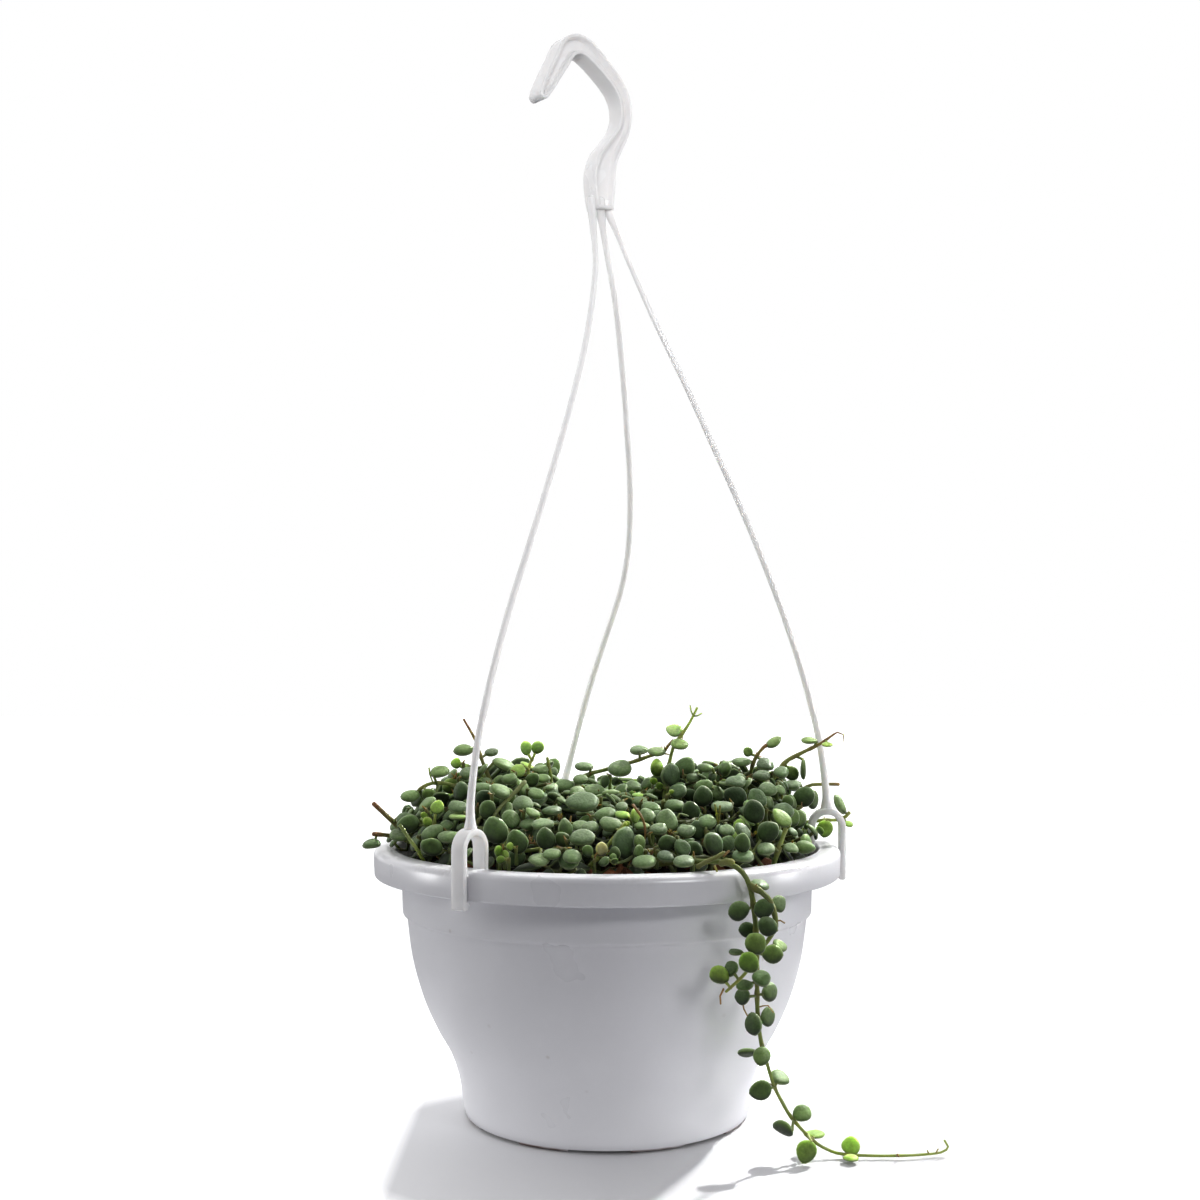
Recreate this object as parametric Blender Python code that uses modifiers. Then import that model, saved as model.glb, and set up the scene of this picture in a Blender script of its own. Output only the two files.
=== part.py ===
"""Potted string of nickels (Dischidia nummularia) in a white hanging pot with its clip-on hanger.

Metres, +Z up. The origin is the centre of the pot's base, on the surface that it stands on, and
the front of the pot faces -Y. Places inside the tables below are in millimetres.
"""

import math

import bmesh
import bpy
import numpy as np
from mathutils import Matrix, Vector
from mathutils.bvhtree import BVHTree

MM = 0.001
TOUCH_GAP = 0.3 * MM  # left between pieces that touch
TURN_STEPS = 40

# Pot: one thin-walled moulding
POT_HEIGHT = 115 * MM
RIM_RADIUS = 100 * MM
RIM_SKIRT = 11.5 * MM  # height of the rim's outer skirt
RIM_BORE = 90.6 * MM  # radius inside the rim
WALL = 1.5 * MM
BAND_RADIUS = 88.2 * MM  # the straight band under the rim
LEDGE_HEIGHT = 87 * MM  # the step between the band and the body
BASE_RADIUS = 59.5 * MM
FOOT_WIDTH = 2.6 * MM
FOOT_HEIGHT = 2.4 * MM
HUB_RADIUS = 16 * MM
FLOOR_TOP = 4.4 * MM
BODY_OUTLINE = [  # (radius, height) in mm, from the ledge down to the base
    (85.9, 86.3), (85.2, 80), (83.9, 70), (81.3, 59), (77.8, 48.5), (73, 38), (67.4, 28),
    (64, 18), (62.6, 10),
]
NOTCH_COUNT = 8
NOTCH_WIDTH = 25 * MM
NOTCH_HEIGHT = 1.3 * MM
NOTCH_START = math.radians(-93)

# Potting mix
MIX_TOP = 106 * MM
MIX_RADIUS = 85.6 * MM  # at its top

# Hanger: a hook, three strands and three clips over the rim
HOOK_TURN = math.radians(38)  # the hook's own plane, turned about Z, its tip towards the front
HOOK_PLACE = Vector((-3.5, 0, 0)) * MM
HOOK_DEPTH = 8.8 * MM
HOOK_ROUTE = [  # (along, height, half width) in mm, from the tip down to the strands
    (-33.6, 429.0, 2.5), (-30.6, 434.6, 3.2), (-23.2, 447.2, 3.6), (-17.8, 455.4, 4.2),
    (-9.4, 456.6, 4.0), (3.2, 448.3, 3.4), (9.9, 441.2, 3.2), (12.1, 433.2, 3.1),
    (10.6, 425.2, 3.2), (5.6, 417.0, 4.0), (2.2, 411.4, 4.9), (0.5, 404.5, 5.7),
    (0.4, 396.0, 5.2), (0.9, 389.4, 4.1),
]
GROOVE_DEPTH = 2.9 * MM
GROOVE_EDGE = 1.5  # mm of flange left beside the groove
STRAND_TOP_RADIUS = 1.25 * MM
STRAND_FOOT_RADIUS = 1.5 * MM
STRAND_BOSS_RADIUS = 2.3 * MM  # where a strand swells into its clip
STRAND_ROUTES = {  # mm, from the hook's base down to the clip
    "left": [(-6.3, -2.6, 388), (-5.8, -4.6, 379), (-5, -6.2, 370), (-5, -7.4, 361), (-6.8, -10, 344),
             (-9.8, -14.6, 326), (-13.8, -20.6, 308), (-18.2, -27, 290), (-25.2, -37.6, 264),
             (-32.2, -48.4, 239), (-39, -58.4, 215), (-44.8, -67.2, 191), (-49.4, -74, 168),
             (-51.4, -77, 153), (-52.5, -78.8, 141), (-52.6, -78.9, 134), (-52.6, -78.9, 131.2)],
    "back": [(-2.6, 0.6, 388), (-1.2, 3.4, 379), (0.4, 6, 370), (2.2, 9, 361), (4.2, 13.6, 349),
             (6.2, 19.6, 332), (7.8, 26.2, 316), (9.2, 33.6, 299), (10.5, 41.4, 282), (11, 49.4, 264),
             (10.2, 57.6, 246), (6.8, 65.6, 227), (-2.3, 77, 199), (-8.6, 83.6, 179),
             (-14.4, 88.4, 160), (-21.6, 91.2, 143), (-24.3, 91.7, 135),
             (-24.6, 91.8, 131.4)],
    "right": [(1.4, 2.8, 388), (4.6, 1.8, 380), (8, 0.8, 371), (11.4, 0.2, 363), (18.7, -0.2, 346),
              (26.7, -0.3, 329), (34.9, -0.3, 312), (43, -0.4, 294), (54.7, -0.5, 268),
              (65.8, -0.6, 242), (75.7, -0.7, 216), (84.3, -0.8, 190), (91, -0.8, 164),
              (94, -0.8, 145), (95, -0.8, 135), (95.1, -0.8, 131.2)],
}
CLIP_TURNS = {"left": math.radians(236.3), "back": math.radians(105), "right": math.radians(359.5)}
CLIP_OUTER = 101.7  # mm, radius of the outer leg's middle
CLIP_INNER = 88.5  # mm, radius of the inner leg's middle
CLIP_THICK = 2.7  # mm
CLIP_WIDTH = 6 * MM
CLIP_TOP = 130.7  # mm, top of the arch
CLIP_INNER_FOOT = 107.5  # mm, height of the inner leg's end
CLIP_OUTER_FOOT = 100.0  # mm, height of the outer leg's end
CLIP_BARB = 1.7  # mm that the outer leg's end reaches in under the rim

# Plant
STEM_RADIUS = 1.0 * MM
TIP_RADIUS = 0.7 * MM
LEAF_ROOT = 0.3  # mm that a leaf's foot reaches past the middle of its stem
LEAF_THICK = 0.36  # of a leaf's length
LEAF_WIDE = 0.92  # of a leaf's length
MOUND_TOP = 138  # mm, height of the foliage over the middle of the pot
MOUND_DROP = 20  # mm, fall of the foliage from the middle to the rim
MOUND_LUMPS = [(-45, 5, 9, 24), (60, 0, 11, 24), (8, 20, -6, 18)]  # x, y, rise, spread
VINE_REACH = 80  # mm, how far from the axis a vine may creep
FILLER_VINES = 17
ROOT_REACH = 80  # mm, how far from the axis a vine may root
SHORTEST_VINE = 4  # points that a vine's route has at least
FILLER_STEP = 5.5  # mm between a growing vine's points
GOLDEN_TURN = math.pi * (3 - math.sqrt(5))

UP, FRONT, RIGHT = (0, 0, 1), (0, -1, 0), (1, 0, 0)
TILT = (0, -0.5, 0.87)  # a leaf that faces up and forward
FLAT = (0, -0.3, 0.95)  # lies back
UNDER = (0, -0.6, -0.8)  # shows its underside
TURN_LEFT, TURN_RIGHT = (-0.7, -0.7, 0.1), (0.7, -0.7, 0.1)
# Shoots that show by their own shape. Each has its stem's route and its leaves, (x, y, z, length, facing).
SHOOTS = {
    "shoot_left_stub": (
        [(-70, -2, 106.3), (-72, -4, 111), (-80, -8, 116), (-90, -12, 125), (-99, -15, 134)],
        [(-84, -25, 128.5, 8.5, TILT), (-83, -2, 124, 9, UP)]),
    "shoot_left_low": (
        [(-74, -24, 106.3), (-76, -22, 112), (-84, -18, 118.5), (-91, -21, 121), (-98, -23, 122)],
        [(-98, -26.5, 118.5, 8, UP), (-86.5, -28, 122.3, 8.5, TILT)]),
    "shoot_left_arch": (
        [(-54, -8, 106.3), (-55, -9, 120), (-58, -9, 134), (-65, -10, 141), (-74, -14, 142.5), (-79.5, -16, 140)],
        [(-71, -14, 147.3, 8.6, TILT), (-83, -19, 138, 8.4, TILT), (-67, -6, 140.6, 7.2, FRONT),
         (-75, -18, 137.8, 6.4, FRONT), (-70, -19, 137, 7.6, UNDER)]),
    "shoot_left_tall": (
        [(-44, 4, 106.3), (-45, 3, 120), (-49, 1, 138), (-54, 0, 151), (-57, 0, 160), (-62, 0, 169)],
        [(-62, -1, 155.8, 8.6, TILT), (-50.3, 3, 154.5, 6.4, TILT), (-45, 2, 149.3, 10.5, (0.4, -0.3, 0.85)),
         (-53, -6, 142, 7.5, TILT)]),
    "shoot_lime_pair": (
        [(-33, -2, 106.3), (-33, -1, 118), (-34, 0, 134), (-34, 0, 147), (-32, 0, 152.4)],
        [(-30, -1, 156.8, 5.8, FRONT), (-34.7, 0.5, 156.3, 5.4, (-0.5, -0.85, 0)), (-38.2, -6, 147.4, 8, FRONT)]),
    "shoot_green_stub": (
        [(-22, 8, 106.3), (-22, 7, 122), (-24, 5, 141), (-26, 5, 152)],
        [(-28.9, 4, 147, 7.4, TILT), (-18.8, 6, 139.7, 9, TILT)]),
    "shoot_centre_long": (
        [(-22, 26, 106.3), (-22, 25, 120), (-16, 17, 137), (-8, 12, 144), (-2, 10, 146), (11, 6, 150),
         (19, 3, 153), (25, 2, 155)],
        [(-10, 13, 147.6, 8.6, UP), (5.7, 2, 147.8, 11.4, TILT), (14, 8, 155.2, 8.8, UP),
         (21.5, -3, 155.2, 8.8, UP), (-11.5, 6, 142.6, 7, TILT)]),
    "shoot_top": (
        [(24, -6, 106.3), (24, -7, 122), (25, -6, 140), (27, -4, 151), (29, -3, 158), (32, -2, 162),
         (36, -1, 168), (39, -1, 174)],
        [(31, -7, 158.6, 8, TILT), (28.7, 0, 165.6, 9, FRONT), (21.9, -7, 148.6, 9, (0.8, -0.6, 0.1)),
         (27, -13, 145.8, 11, TURN_RIGHT), (32.5, -6, 148.3, 11.5, (-0.6, -0.7, 0.4))]),
    "shoot_right_upright": (
        [(58, 4, 106.3), (58, 3, 120), (61, 1, 138), (63, 0, 149), (66, -1, 155), (69, -1, 158)],
        [(72, -1, 159.3, 7.4, UP), (61, -1, 154.9, 4.6, RIGHT), (58.2, -1, 150.8, 8.6, UP),
         (68, -6, 150.2, 9, TILT)]),
    "shoot_right_long": (
        [(66, -14, 106.3), (66, -14, 122), (69, -9, 140), (76, -5, 150), (82, -6, 154), (91, -10, 159),
         (98, -12, 164), (100.5, -12.5, 163), (100.7, -12.5, 160)],
        [(86.5, -9, 160.2, 7, UP), (93.2, -15, 159, 5, UP), (84.2, -6, 148, 8.6, RIGHT), (74, -13, 147, 7.6, TILT),
         (79.5, -3, 146, 7, FRONT)]),
    "shoot_right_stub": (
        [(80, 14, 106.3), (80, 13, 118), (83, 11, 132), (88, 10, 139), (95, 10, 140), (102, 10, 140)],
        [(81, 5, 140, 8, TILT), (89.5, 3, 134, 8.4, TURN_RIGHT)]),
    "shoot_right_edge": (
        [(76, 24, 106.3), (77, 24, 114), (85, 21, 121), (95, 18, 123.2), (104, 17, 123.8), (107.5, 15.8, 127)],
        [(103.4, 15, 130.6, 9.6, (0.85, -0.3, 0.4)), (96, 10.5, 120.5, 7.6, FRONT), (86, 27, 125, 9, TILT),
         (107, 15, 122, 4.5, TILT)]),
    "shoot_front_cap": (
        [(66, -46, 106.3), (66.5, -50, 112), (68, -52, 118), (70.5, -49.5, 124), (72.3, -47.5, 128.2)],
        [(70.3, -48, 131.4, 9.6, UP), (62.3, -61, 120.6, 8, TILT), (73, -55, 120, 6.5, TILT)]),
    "shoot_front_dark": (
        [(-6, -56, 106.3), (-6, -60, 111), (-7, -69, 115), (-4, -71, 118), (-0.7, -69.5, 122), (6.3, -67, 130.3),
         (7, -70.5, 131.6)],
        [(6.9, -73, 124.3, 13, TURN_RIGHT), (1.2, -61, 130.6, 9.5, TILT), (-2.4, -77, 122.4, 5.6, FRONT)]),
    "shoot_front_left": (
        [(-58, -28, 106.3), (-60, -33, 113), (-66, -43, 117), (-72, -39, 121.5), (-71, -34, 128.5)],
        [(-70.2, -52, 120.2, 8.8, FRONT), (-81.6, -34, 127.3, 9.2, FRONT), (-69.9, -35, 134.2, 7.2, FRONT)]),
    "shoot_front_middle": (
        [(-44, -42, 106.3), (-44, -48, 114), (-42, -57, 120), (-34, -63, 120), (-24, -64, 121), (-15, -64, 121)],
        [(-44, -63, 127.9, 11.3, FRONT), (-38.5, -54, 131.3, 8.6, (0.3, -0.8, 0.5)), (-35, -73, 124.6, 9.6, FRONT),
         (-24, -71, 125.6, 8.8, FRONT), (-26.2, -80, 118.9, 10, FLAT), (-16.4, -66, 129, 8, TURN_RIGHT)]),
    "shoot_front_right": (
        [(34, -44, 106.3), (35, -50, 113), (41, -62, 116.5), (50, -66, 117), (58, -61, 118.5)],
        [(41.3, -71, 123.8, 9.8, (0.5, -0.85, 0.1)), (52.2, -71, 123.9, 7.4, FRONT), (64, -54, 126.4, 9.2, FRONT),
         (53.5, -60, 127.5, 8, (0.5, -0.6, 0.6)), (52.4, -71, 118.9, 10, FLAT)]),
}
TRAILING_STEM = [
    (8, -52, 106.3), (10, -58, 110), (18, -67, 115), (28, -75, 117.6), (36, -82, 118.4), (43, -88, 119),
    (49, -91, 117), (53, -91.5, 111), (55, -90.5, 100.5), (56, -88.5, 86), (56.5, -85.5, 71), (57, -82.5, 61),
    (58.5, -79, 50), (61, -75, 41), (64.5, -71, 30), (72, -66, 16), (80, -64, 7), (86, -64.6, 3.3), (92, -65.5, 1.7),
    (104, -66.3, 1.3), (120, -65.5, 1.3), (131, -62.6, 1.4), (134, -62, 3.5), (132.6, -62, 6),
]
TRAILING_BRANCH = [
    (53, -91.5, 111), (59.3, -94, 106.8), (62.7, -93, 98), (60.8, -93.5, 92), (55.6, -96, 86), (51, -97, 79),
    (43.8, -96, 71.8),
]
TRAILING_LEAVES = [
    (13.9, -81, 118.4, 10.2, FLAT), (49, -93, 101.4, 8.2, FRONT), (57.5, -87.5, 110.5, 7.4, (0.3, -0.3, 0.9)),
    (58.2, -94.5, 102.6, 8, FRONT), (64.5, -88, 103.3, 7.5, (0.6, -0.7, 0.3)), (59.5, -95.5, 96, 7.8, FRONT),
    (53, -88, 93.3, 7.2, FRONT), (54.7, -99, 90.2, 8.4, FRONT), (52, -100.5, 83.6, 8.2, FRONT),
    (61.8, -90, 84.6, 7.9, FRONT), (65, -85.5, 87, 6.5, (0.5, -0.5, 0.7)), (48.2, -91, 85.8, 6.2, UP),
    (46, -92, 79.6, 6.6, (-0.5, -0.6, 0.6)), (41.6, -94, 77.6, 7.8, FRONT), (57.4, -92, 76, 8.4, TILT),
    (51.6, -88, 72.6, 6.6, TILT), (51, -84.5, 67.6, 7.4, TURN_LEFT), (61.5, -83.5, 69, 8.4, TURN_RIGHT),
    (61, -81, 59, 8, TURN_RIGHT), (55, -85.5, 57.4, 8.6, (-0.6, -0.75, 0.1)), (58.7, -82.5, 44.6, 8, (0.1, -0.8, 0.6)),
    (53.6, -76, 44.2, 7.2, UNDER), (59.3, -72, 28.6, 8.8, FRONT), (67, -68.5, 32.4, 8.6, (0.4, -0.4, 0.8)),
    (76.2, -65, 17.6, 8.2, (0.1, -0.7, 0.7)), (68.4, -68.5, 12.6, 8.8, (-0.5, -0.6, -0.5)), (81.8, -59, 7.6, 9.2, UP),
    (76.8, -73.5, 5.3, 9.2, FRONT), (95.5, -63.5, 4.3, 7.8, (-0.3, -0.7, 0.6)), (94.4, -70.5, 1.9, 6.6, UP),
]


def clear_scene():
    for obj in list(bpy.data.objects):
        bpy.data.objects.remove(obj, do_unlink=True)


def new_collection(name):
    collection = bpy.data.collections.new(name)
    bpy.context.scene.collection.children.link(collection)
    return collection


clear_scene()
PARTS = new_collection("potted_string_of_nickels")
CUTTERS = new_collection("cutters")


def make_material(name, color, roughness):
    material = bpy.data.materials.new(name)
    material.use_nodes = True
    shader = material.node_tree.nodes["Principled BSDF"]
    shader.inputs["Base Color"].default_value = (*color, 1)
    shader.inputs["Roughness"].default_value = roughness
    shader.inputs["Metallic"].default_value = 0
    return material


WHITE_PLASTIC = make_material("white_plastic", (0.83, 0.84, 0.86), 0.3)
POTTING_MIX = make_material("potting_mix", (0.06, 0.035, 0.022), 0.95)
FOLIAGE = make_material("foliage", (0.09, 0.17, 0.075), 0.5)


def object_of(name, mesh, collection, material=None):
    obj = bpy.data.objects.new(name, mesh)
    collection.objects.link(obj)
    if material:
        obj.data.materials.append(material)
    return obj


def add_turned(name, outline, collection, material):
    """A turned solid from a closed outline of (radius, height), which runs down its outer side."""
    mesh = bpy.data.meshes.new(name)
    count = len(outline)
    mesh.from_pydata([(r, 0, z) for r, z in outline], [(i, i + 1) for i in range(count - 1)], [])
    obj = object_of(name, mesh, collection, material)
    screw = obj.modifiers.new("Turn", "SCREW")
    screw.steps = TURN_STEPS
    screw.render_steps = TURN_STEPS
    screw.use_merge_vertices = True
    screw.merge_threshold = 0.00001
    return obj


def add_cut(obj, cutter):
    cut = obj.modifiers.new("Cut", "BOOLEAN")
    cut.operation = "DIFFERENCE"
    cut.solver = "EXACT"
    cut.object = cutter


def as_cutter(obj):
    obj.hide_render = True
    obj.display_type = "WIRE"
    return obj


def baked(obj):
    """The object as a plain mesh, with its modifiers applied and its caps welded."""
    graph = bpy.context.evaluated_depsgraph_get()
    mesh = bpy.data.meshes.new_from_object(obj.evaluated_get(graph))
    bm = bmesh.new()
    bm.from_mesh(mesh)
    bmesh.ops.remove_doubles(bm, verts=bm.verts, dist=0.000001)
    bmesh.ops.recalc_face_normals(bm, faces=bm.faces)
    bm.to_mesh(mesh)
    bm.free()
    made = bpy.data.objects.new(obj.name + "_mesh", mesh)
    made.matrix_world = obj.matrix_world
    for collection in obj.users_collection:
        collection.objects.link(made)
    name = obj.name
    bpy.data.objects.remove(obj, do_unlink=True)
    made.name = name
    return made


def make_pot():
    skirt_foot = POT_HEIGHT - RIM_SKIRT
    top = POT_HEIGHT
    lip = 0.9 * MM  # rounding of the rim's top edges
    body = [(r * MM, z * MM) for r, z in BODY_OUTLINE]
    outer = [
        (RIM_BORE + lip, top), (RIM_RADIUS - lip, top), (RIM_RADIUS - lip * 0.3, top - lip * 0.3),
        (RIM_RADIUS, top - lip), (RIM_RADIUS - 0.3 * MM, skirt_foot),
        (RIM_RADIUS - WALL, skirt_foot), (RIM_RADIUS - WALL, top - WALL), (RIM_BORE + WALL, top - WALL),
        (RIM_BORE + WALL, skirt_foot + 1.6 * MM), (BAND_RADIUS, skirt_foot),
        (BAND_RADIUS - 0.5 * MM, LEDGE_HEIGHT + 0.8 * MM), (BAND_RADIUS - 0.6 * MM, LEDGE_HEIGHT),
        *body, (BASE_RADIUS + 1 * MM, 1.2 * MM), (BASE_RADIUS, 0),
    ]
    foot = [
        (BASE_RADIUS - FOOT_WIDTH, 0), (BASE_RADIUS - FOOT_WIDTH, FOOT_HEIGHT), (HUB_RADIUS, FOOT_HEIGHT),
        (HUB_RADIUS, 0), (0, 0),
    ]
    inner = [(0, FLOOR_TOP), (BASE_RADIUS - WALL, FLOOR_TOP)]
    inner += [(wall_inside(z), z) for _, z in reversed(body)]
    inner += [
        (BAND_RADIUS - WALL, LEDGE_HEIGHT + 0.8 * MM), (BAND_RADIUS - WALL, skirt_foot),
        (RIM_BORE, skirt_foot + 1.6 * MM), (RIM_BORE, top - lip),
    ]
    outline = outer + foot + inner
    pot = add_turned("pot", outline + outline[:1], PARTS, WHITE_PLASTIC)
    cut_notches(pot)
    return pot


def wall_inside(z):
    """Radius of the pot's inner wall at a height below the ledge."""
    heights = [0, *(h * MM for _, h in reversed(BODY_OUTLINE))]
    radii = [BASE_RADIUS, *(r * MM for r, _ in reversed(BODY_OUTLINE))]
    return float(np.interp(z, heights, radii)) - WALL


def cut_notches(pot):
    """Shallow drain notches through the foot ring."""
    for i in range(NOTCH_COUNT):
        bm = bmesh.new()
        turn = Matrix.Rotation(NOTCH_START + i * math.tau / NOTCH_COUNT, 4, "Z")
        reach = BASE_RADIUS - 0.5 * FOOT_WIDTH
        size = Matrix.Diagonal((3 * FOOT_WIDTH, NOTCH_WIDTH, 2 * NOTCH_HEIGHT, 1))
        bmesh.ops.create_cube(bm, size=1, matrix=turn @ Matrix.Translation((reach, 0, 0)) @ size)
        mesh = bpy.data.meshes.new("notch")
        bm.to_mesh(mesh)
        bm.free()
        add_cut(pot, as_cutter(object_of("notch", mesh, CUTTERS)))


def make_mix():
    heights = [h * MM for _, h in BODY_OUTLINE]
    sides = [(wall_inside(z) - TOUCH_GAP, z) for z in heights]
    band = BAND_RADIUS - WALL - 0.6 * MM - TOUCH_GAP
    outline = [
        (0, MIX_TOP), (MIX_RADIUS - 2 * MM, MIX_TOP), (MIX_RADIUS, MIX_TOP - 2 * MM), (band, LEDGE_HEIGHT + 2 * MM),
        *sides, (BASE_RADIUS - WALL - TOUCH_GAP, FLOOR_TOP + TOUCH_GAP), (0, FLOOR_TOP + TOUCH_GAP),
    ]
    return add_turned("potting_mix", outline, PARTS, POTTING_MIX)


def smooth_points(points, spacing):
    """Points of a Catmull-Rom curve through the route, about one spacing apart."""
    points = [np.array(p, float) for p in points]
    ends = [2 * points[0] - points[1], *points, 2 * points[-1] - points[-2]]
    found = []
    for a, b, c, d in zip(ends, ends[1:], ends[2:], ends[3:]):
        steps = max(1, round(float(np.linalg.norm(c - b)) / spacing))
        for i in range(steps):
            t = i / steps
            found.append(0.5 * (2 * b + (c - a) * t + (2 * a - 5 * b + 4 * c - d) * t**2 + (3 * b - a - 3 * c + d) * t**3))
    return [*found, points[-1]]


def rooted(route):
    """The route with its first stretch upright, so that the stem's end lies flat on the mix."""
    x, y, z = route[0]
    return [route[0], (x, y, z + 1.5), *route[1:]]


def hook_outline(route, edge, ends):
    """The hook's outline in its own plane, in metres, a fixed edge in from its sides."""
    points = [np.array(p) for p in route]
    left, right = [], []
    for i, point in enumerate(points):
        before, after = points[max(i - 1, 0)], points[min(i + 1, len(points) - 1)]
        along = (after - before)[:2]
        along = along / np.linalg.norm(along)
        across = np.array([-along[1], along[0]])
        width = point[2] - edge
        middle = point[:2] + (along * (-ends if i == 0 else ends if i == len(points) - 1 else 0))
        left.append(middle + across * width)
        right.append(middle - across * width)
    return [p * MM for p in left + right[::-1]]


def add_plate(name, outline, thickness, place, collection, material=None):
    """A flat plate: the outline, drawn in a plane through Z, with half its thickness on each side."""
    curve = bpy.data.curves.new(name, "CURVE")
    curve.dimensions = "2D"
    curve.fill_mode = "BOTH"
    curve.extrude = thickness / 2
    spline = curve.splines.new("POLY")
    spline.points.add(len(outline) - 1)
    for point, (u, w) in zip(spline.points, outline):
        point.co = (u, w, 0, 1)
    spline.use_cyclic_u = True
    obj = object_of(name, curve, collection, material)
    obj.matrix_world = place @ Matrix.Rotation(math.radians(90), 4, "X")
    bpy.context.view_layer.update()
    return baked(obj)


def make_hook():
    place = Matrix.Translation(HOOK_PLACE) @ Matrix.Rotation(HOOK_TURN, 4, "Z")
    route = smooth_points(HOOK_ROUTE, 6)
    hook = add_plate("hanger_hook", hook_outline(route, 0, 0.6), HOOK_DEPTH, place, PARTS, WHITE_PLASTIC)
    groove = hook_outline(smooth_points(HOOK_ROUTE[1:-1], 6), GROOVE_EDGE, 0)
    for side in (-1, 1):
        shift = Matrix.Translation((0, side * HOOK_DEPTH / 2, 0))
        cutter = add_plate("groove", groove, 2 * GROOVE_DEPTH, place @ shift, CUTTERS)
        add_cut(hook, as_cutter(cutter))
    return hook


def tube_curve(name, points, radii, sides, collection, material):
    """A tube along the points, in mm, whose radius in metres changes from point to point."""
    curve = bpy.data.curves.new(name, "CURVE")
    curve.dimensions = "3D"
    curve.bevel_depth = 1
    curve.bevel_resolution = max(0, sides // 2 - 2)
    curve.use_fill_caps = True
    spline = curve.splines.new("POLY")
    spline.points.add(len(points) - 1)
    for point, place, radius in zip(spline.points, points, radii):
        point.co = (*(Vector(place) * MM), 1)
        point.radius = radius
    return object_of(name, curve, collection, material)


def make_strand(side):
    points = smooth_points(STRAND_ROUTES[side], 15)
    count = len(points)
    radii = []
    for i in range(count):
        share = i / (count - 1)
        radius = STRAND_TOP_RADIUS + (STRAND_FOOT_RADIUS - STRAND_TOP_RADIUS) * share
        left_over = count - 1 - i
        if left_over < 2:
            radius = STRAND_BOSS_RADIUS - (STRAND_BOSS_RADIUS - STRAND_FOOT_RADIUS) * left_over / 2
        radii.append(radius)
    return baked(tube_curve(f"hanger_strand_{side}", points, radii, 8, PARTS, WHITE_PLASTIC))


def clip_outline():
    """The clip seen along the rim: an arch with an inner leg, and an outer leg barbed under the rim."""
    half = CLIP_THICK / 2
    middle = (CLIP_OUTER + CLIP_INNER) / 2
    reach = (CLIP_OUTER - CLIP_INNER) / 2
    spring = CLIP_TOP - half - reach  # height where the arch starts
    turns = [math.pi * i / 10 for i in range(11)]
    outer = [(middle + (reach + half) * math.cos(t), spring + (reach + half) * math.sin(t)) for t in turns]
    inner = [(middle + (reach - half) * math.cos(t), spring + (reach - half) * math.sin(t)) for t in turns]
    leg_in, leg_out = CLIP_INNER, CLIP_OUTER
    barb_top = (POT_HEIGHT - RIM_SKIRT - TOUCH_GAP) / MM
    return [
        (leg_out + half, CLIP_OUTER_FOOT + 0.6), *outer, (leg_in - half, CLIP_INNER_FOOT),
        (leg_in + half, CLIP_INNER_FOOT), *inner[::-1], (leg_out - half, barb_top + 0.4),
        (leg_out - half, barb_top), (leg_out - half - CLIP_BARB, barb_top - 0.4),
        (leg_out - half, CLIP_OUTER_FOOT), (leg_out + half - 0.8, CLIP_OUTER_FOOT),
    ]


def make_clip(side):
    place = Matrix.Rotation(CLIP_TURNS[side], 4, "Z")
    outline = [(r * MM, z * MM) for r, z in clip_outline()]
    return add_plate(f"hanger_clip_{side}", outline, CLIP_WIDTH, place, PARTS, WHITE_PLASTIC)


def unit_leaf():
    """A ball of 12 points, which a leaf is stretched from."""
    bm = bmesh.new()
    bmesh.ops.create_icosphere(bm, subdivisions=1, radius=1)
    bm.verts.ensure_lookup_table()
    points = np.array([v.co[:] for v in bm.verts])
    faces = [tuple(v.index for v in f.verts) for f in bm.faces]
    bm.free()
    return points, faces


BALL_POINTS, BALL_FACES = unit_leaf()


class Room:
    """The space that is already taken, so that what grows later keeps clear of it."""

    def __init__(self):
        self.taken = []

    def add(self, points, faces):
        points = np.asarray(points)
        tree = BVHTree.FromPolygons([tuple(p) for p in points], faces)
        self.taken.append((points.min(0), points.max(0), tree))

    def add_object(self, obj):
        graph = bpy.context.evaluated_depsgraph_get()
        mesh = obj.evaluated_get(graph).to_mesh()
        points = [obj.matrix_world @ v.co for v in mesh.vertices]
        self.add([tuple(p / MM) for p in points], [tuple(f.vertices) for f in mesh.polygons])

    def is_clear(self, points, faces):
        low, high = points.min(0), points.max(0)
        tree = None
        for a, b, other in self.taken:
            if (high < a).any() or (low > b).any():
                continue
            tree = tree or BVHTree.FromPolygons([tuple(p) for p in points], faces)
            if tree.overlap(other):
                return False
        return True


def leaf_axes(foot, centre, facing):
    """Unit vectors along, across and through a leaf, which turns its face as it is told."""
    through = facing / np.linalg.norm(facing)
    along = centre - foot
    along = along - through * (along @ through)
    if np.linalg.norm(along) < 0.5:
        along = np.cross(through, (0.9, 0.3, 0.2))
    along = along / np.linalg.norm(along)
    return along, np.cross(through, along), through


def leaf_points(foot, centre, length, facing, grow=0.0):
    """A leaf's 12 points in mm. With grow, they are the space that it keeps for itself."""
    along, across, through = leaf_axes(foot, centre, facing)
    half = np.array([length * LEAF_WIDE, length * LEAF_THICK, length]) / 2 + grow
    ball = BALL_POINTS * half
    return centre + ball[:, :1] * across + ball[:, 1:2] * through + ball[:, 2:] * along


def rooted_leaf(foot, centre, length, facing, grow=0.0):
    """A leaf's points, with the nearest one drawn out to its foot on the stem."""
    points = leaf_points(foot, centre, length, facing, grow)
    points[np.argmin(np.linalg.norm(points - foot, axis=1))] = foot
    return points


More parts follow.
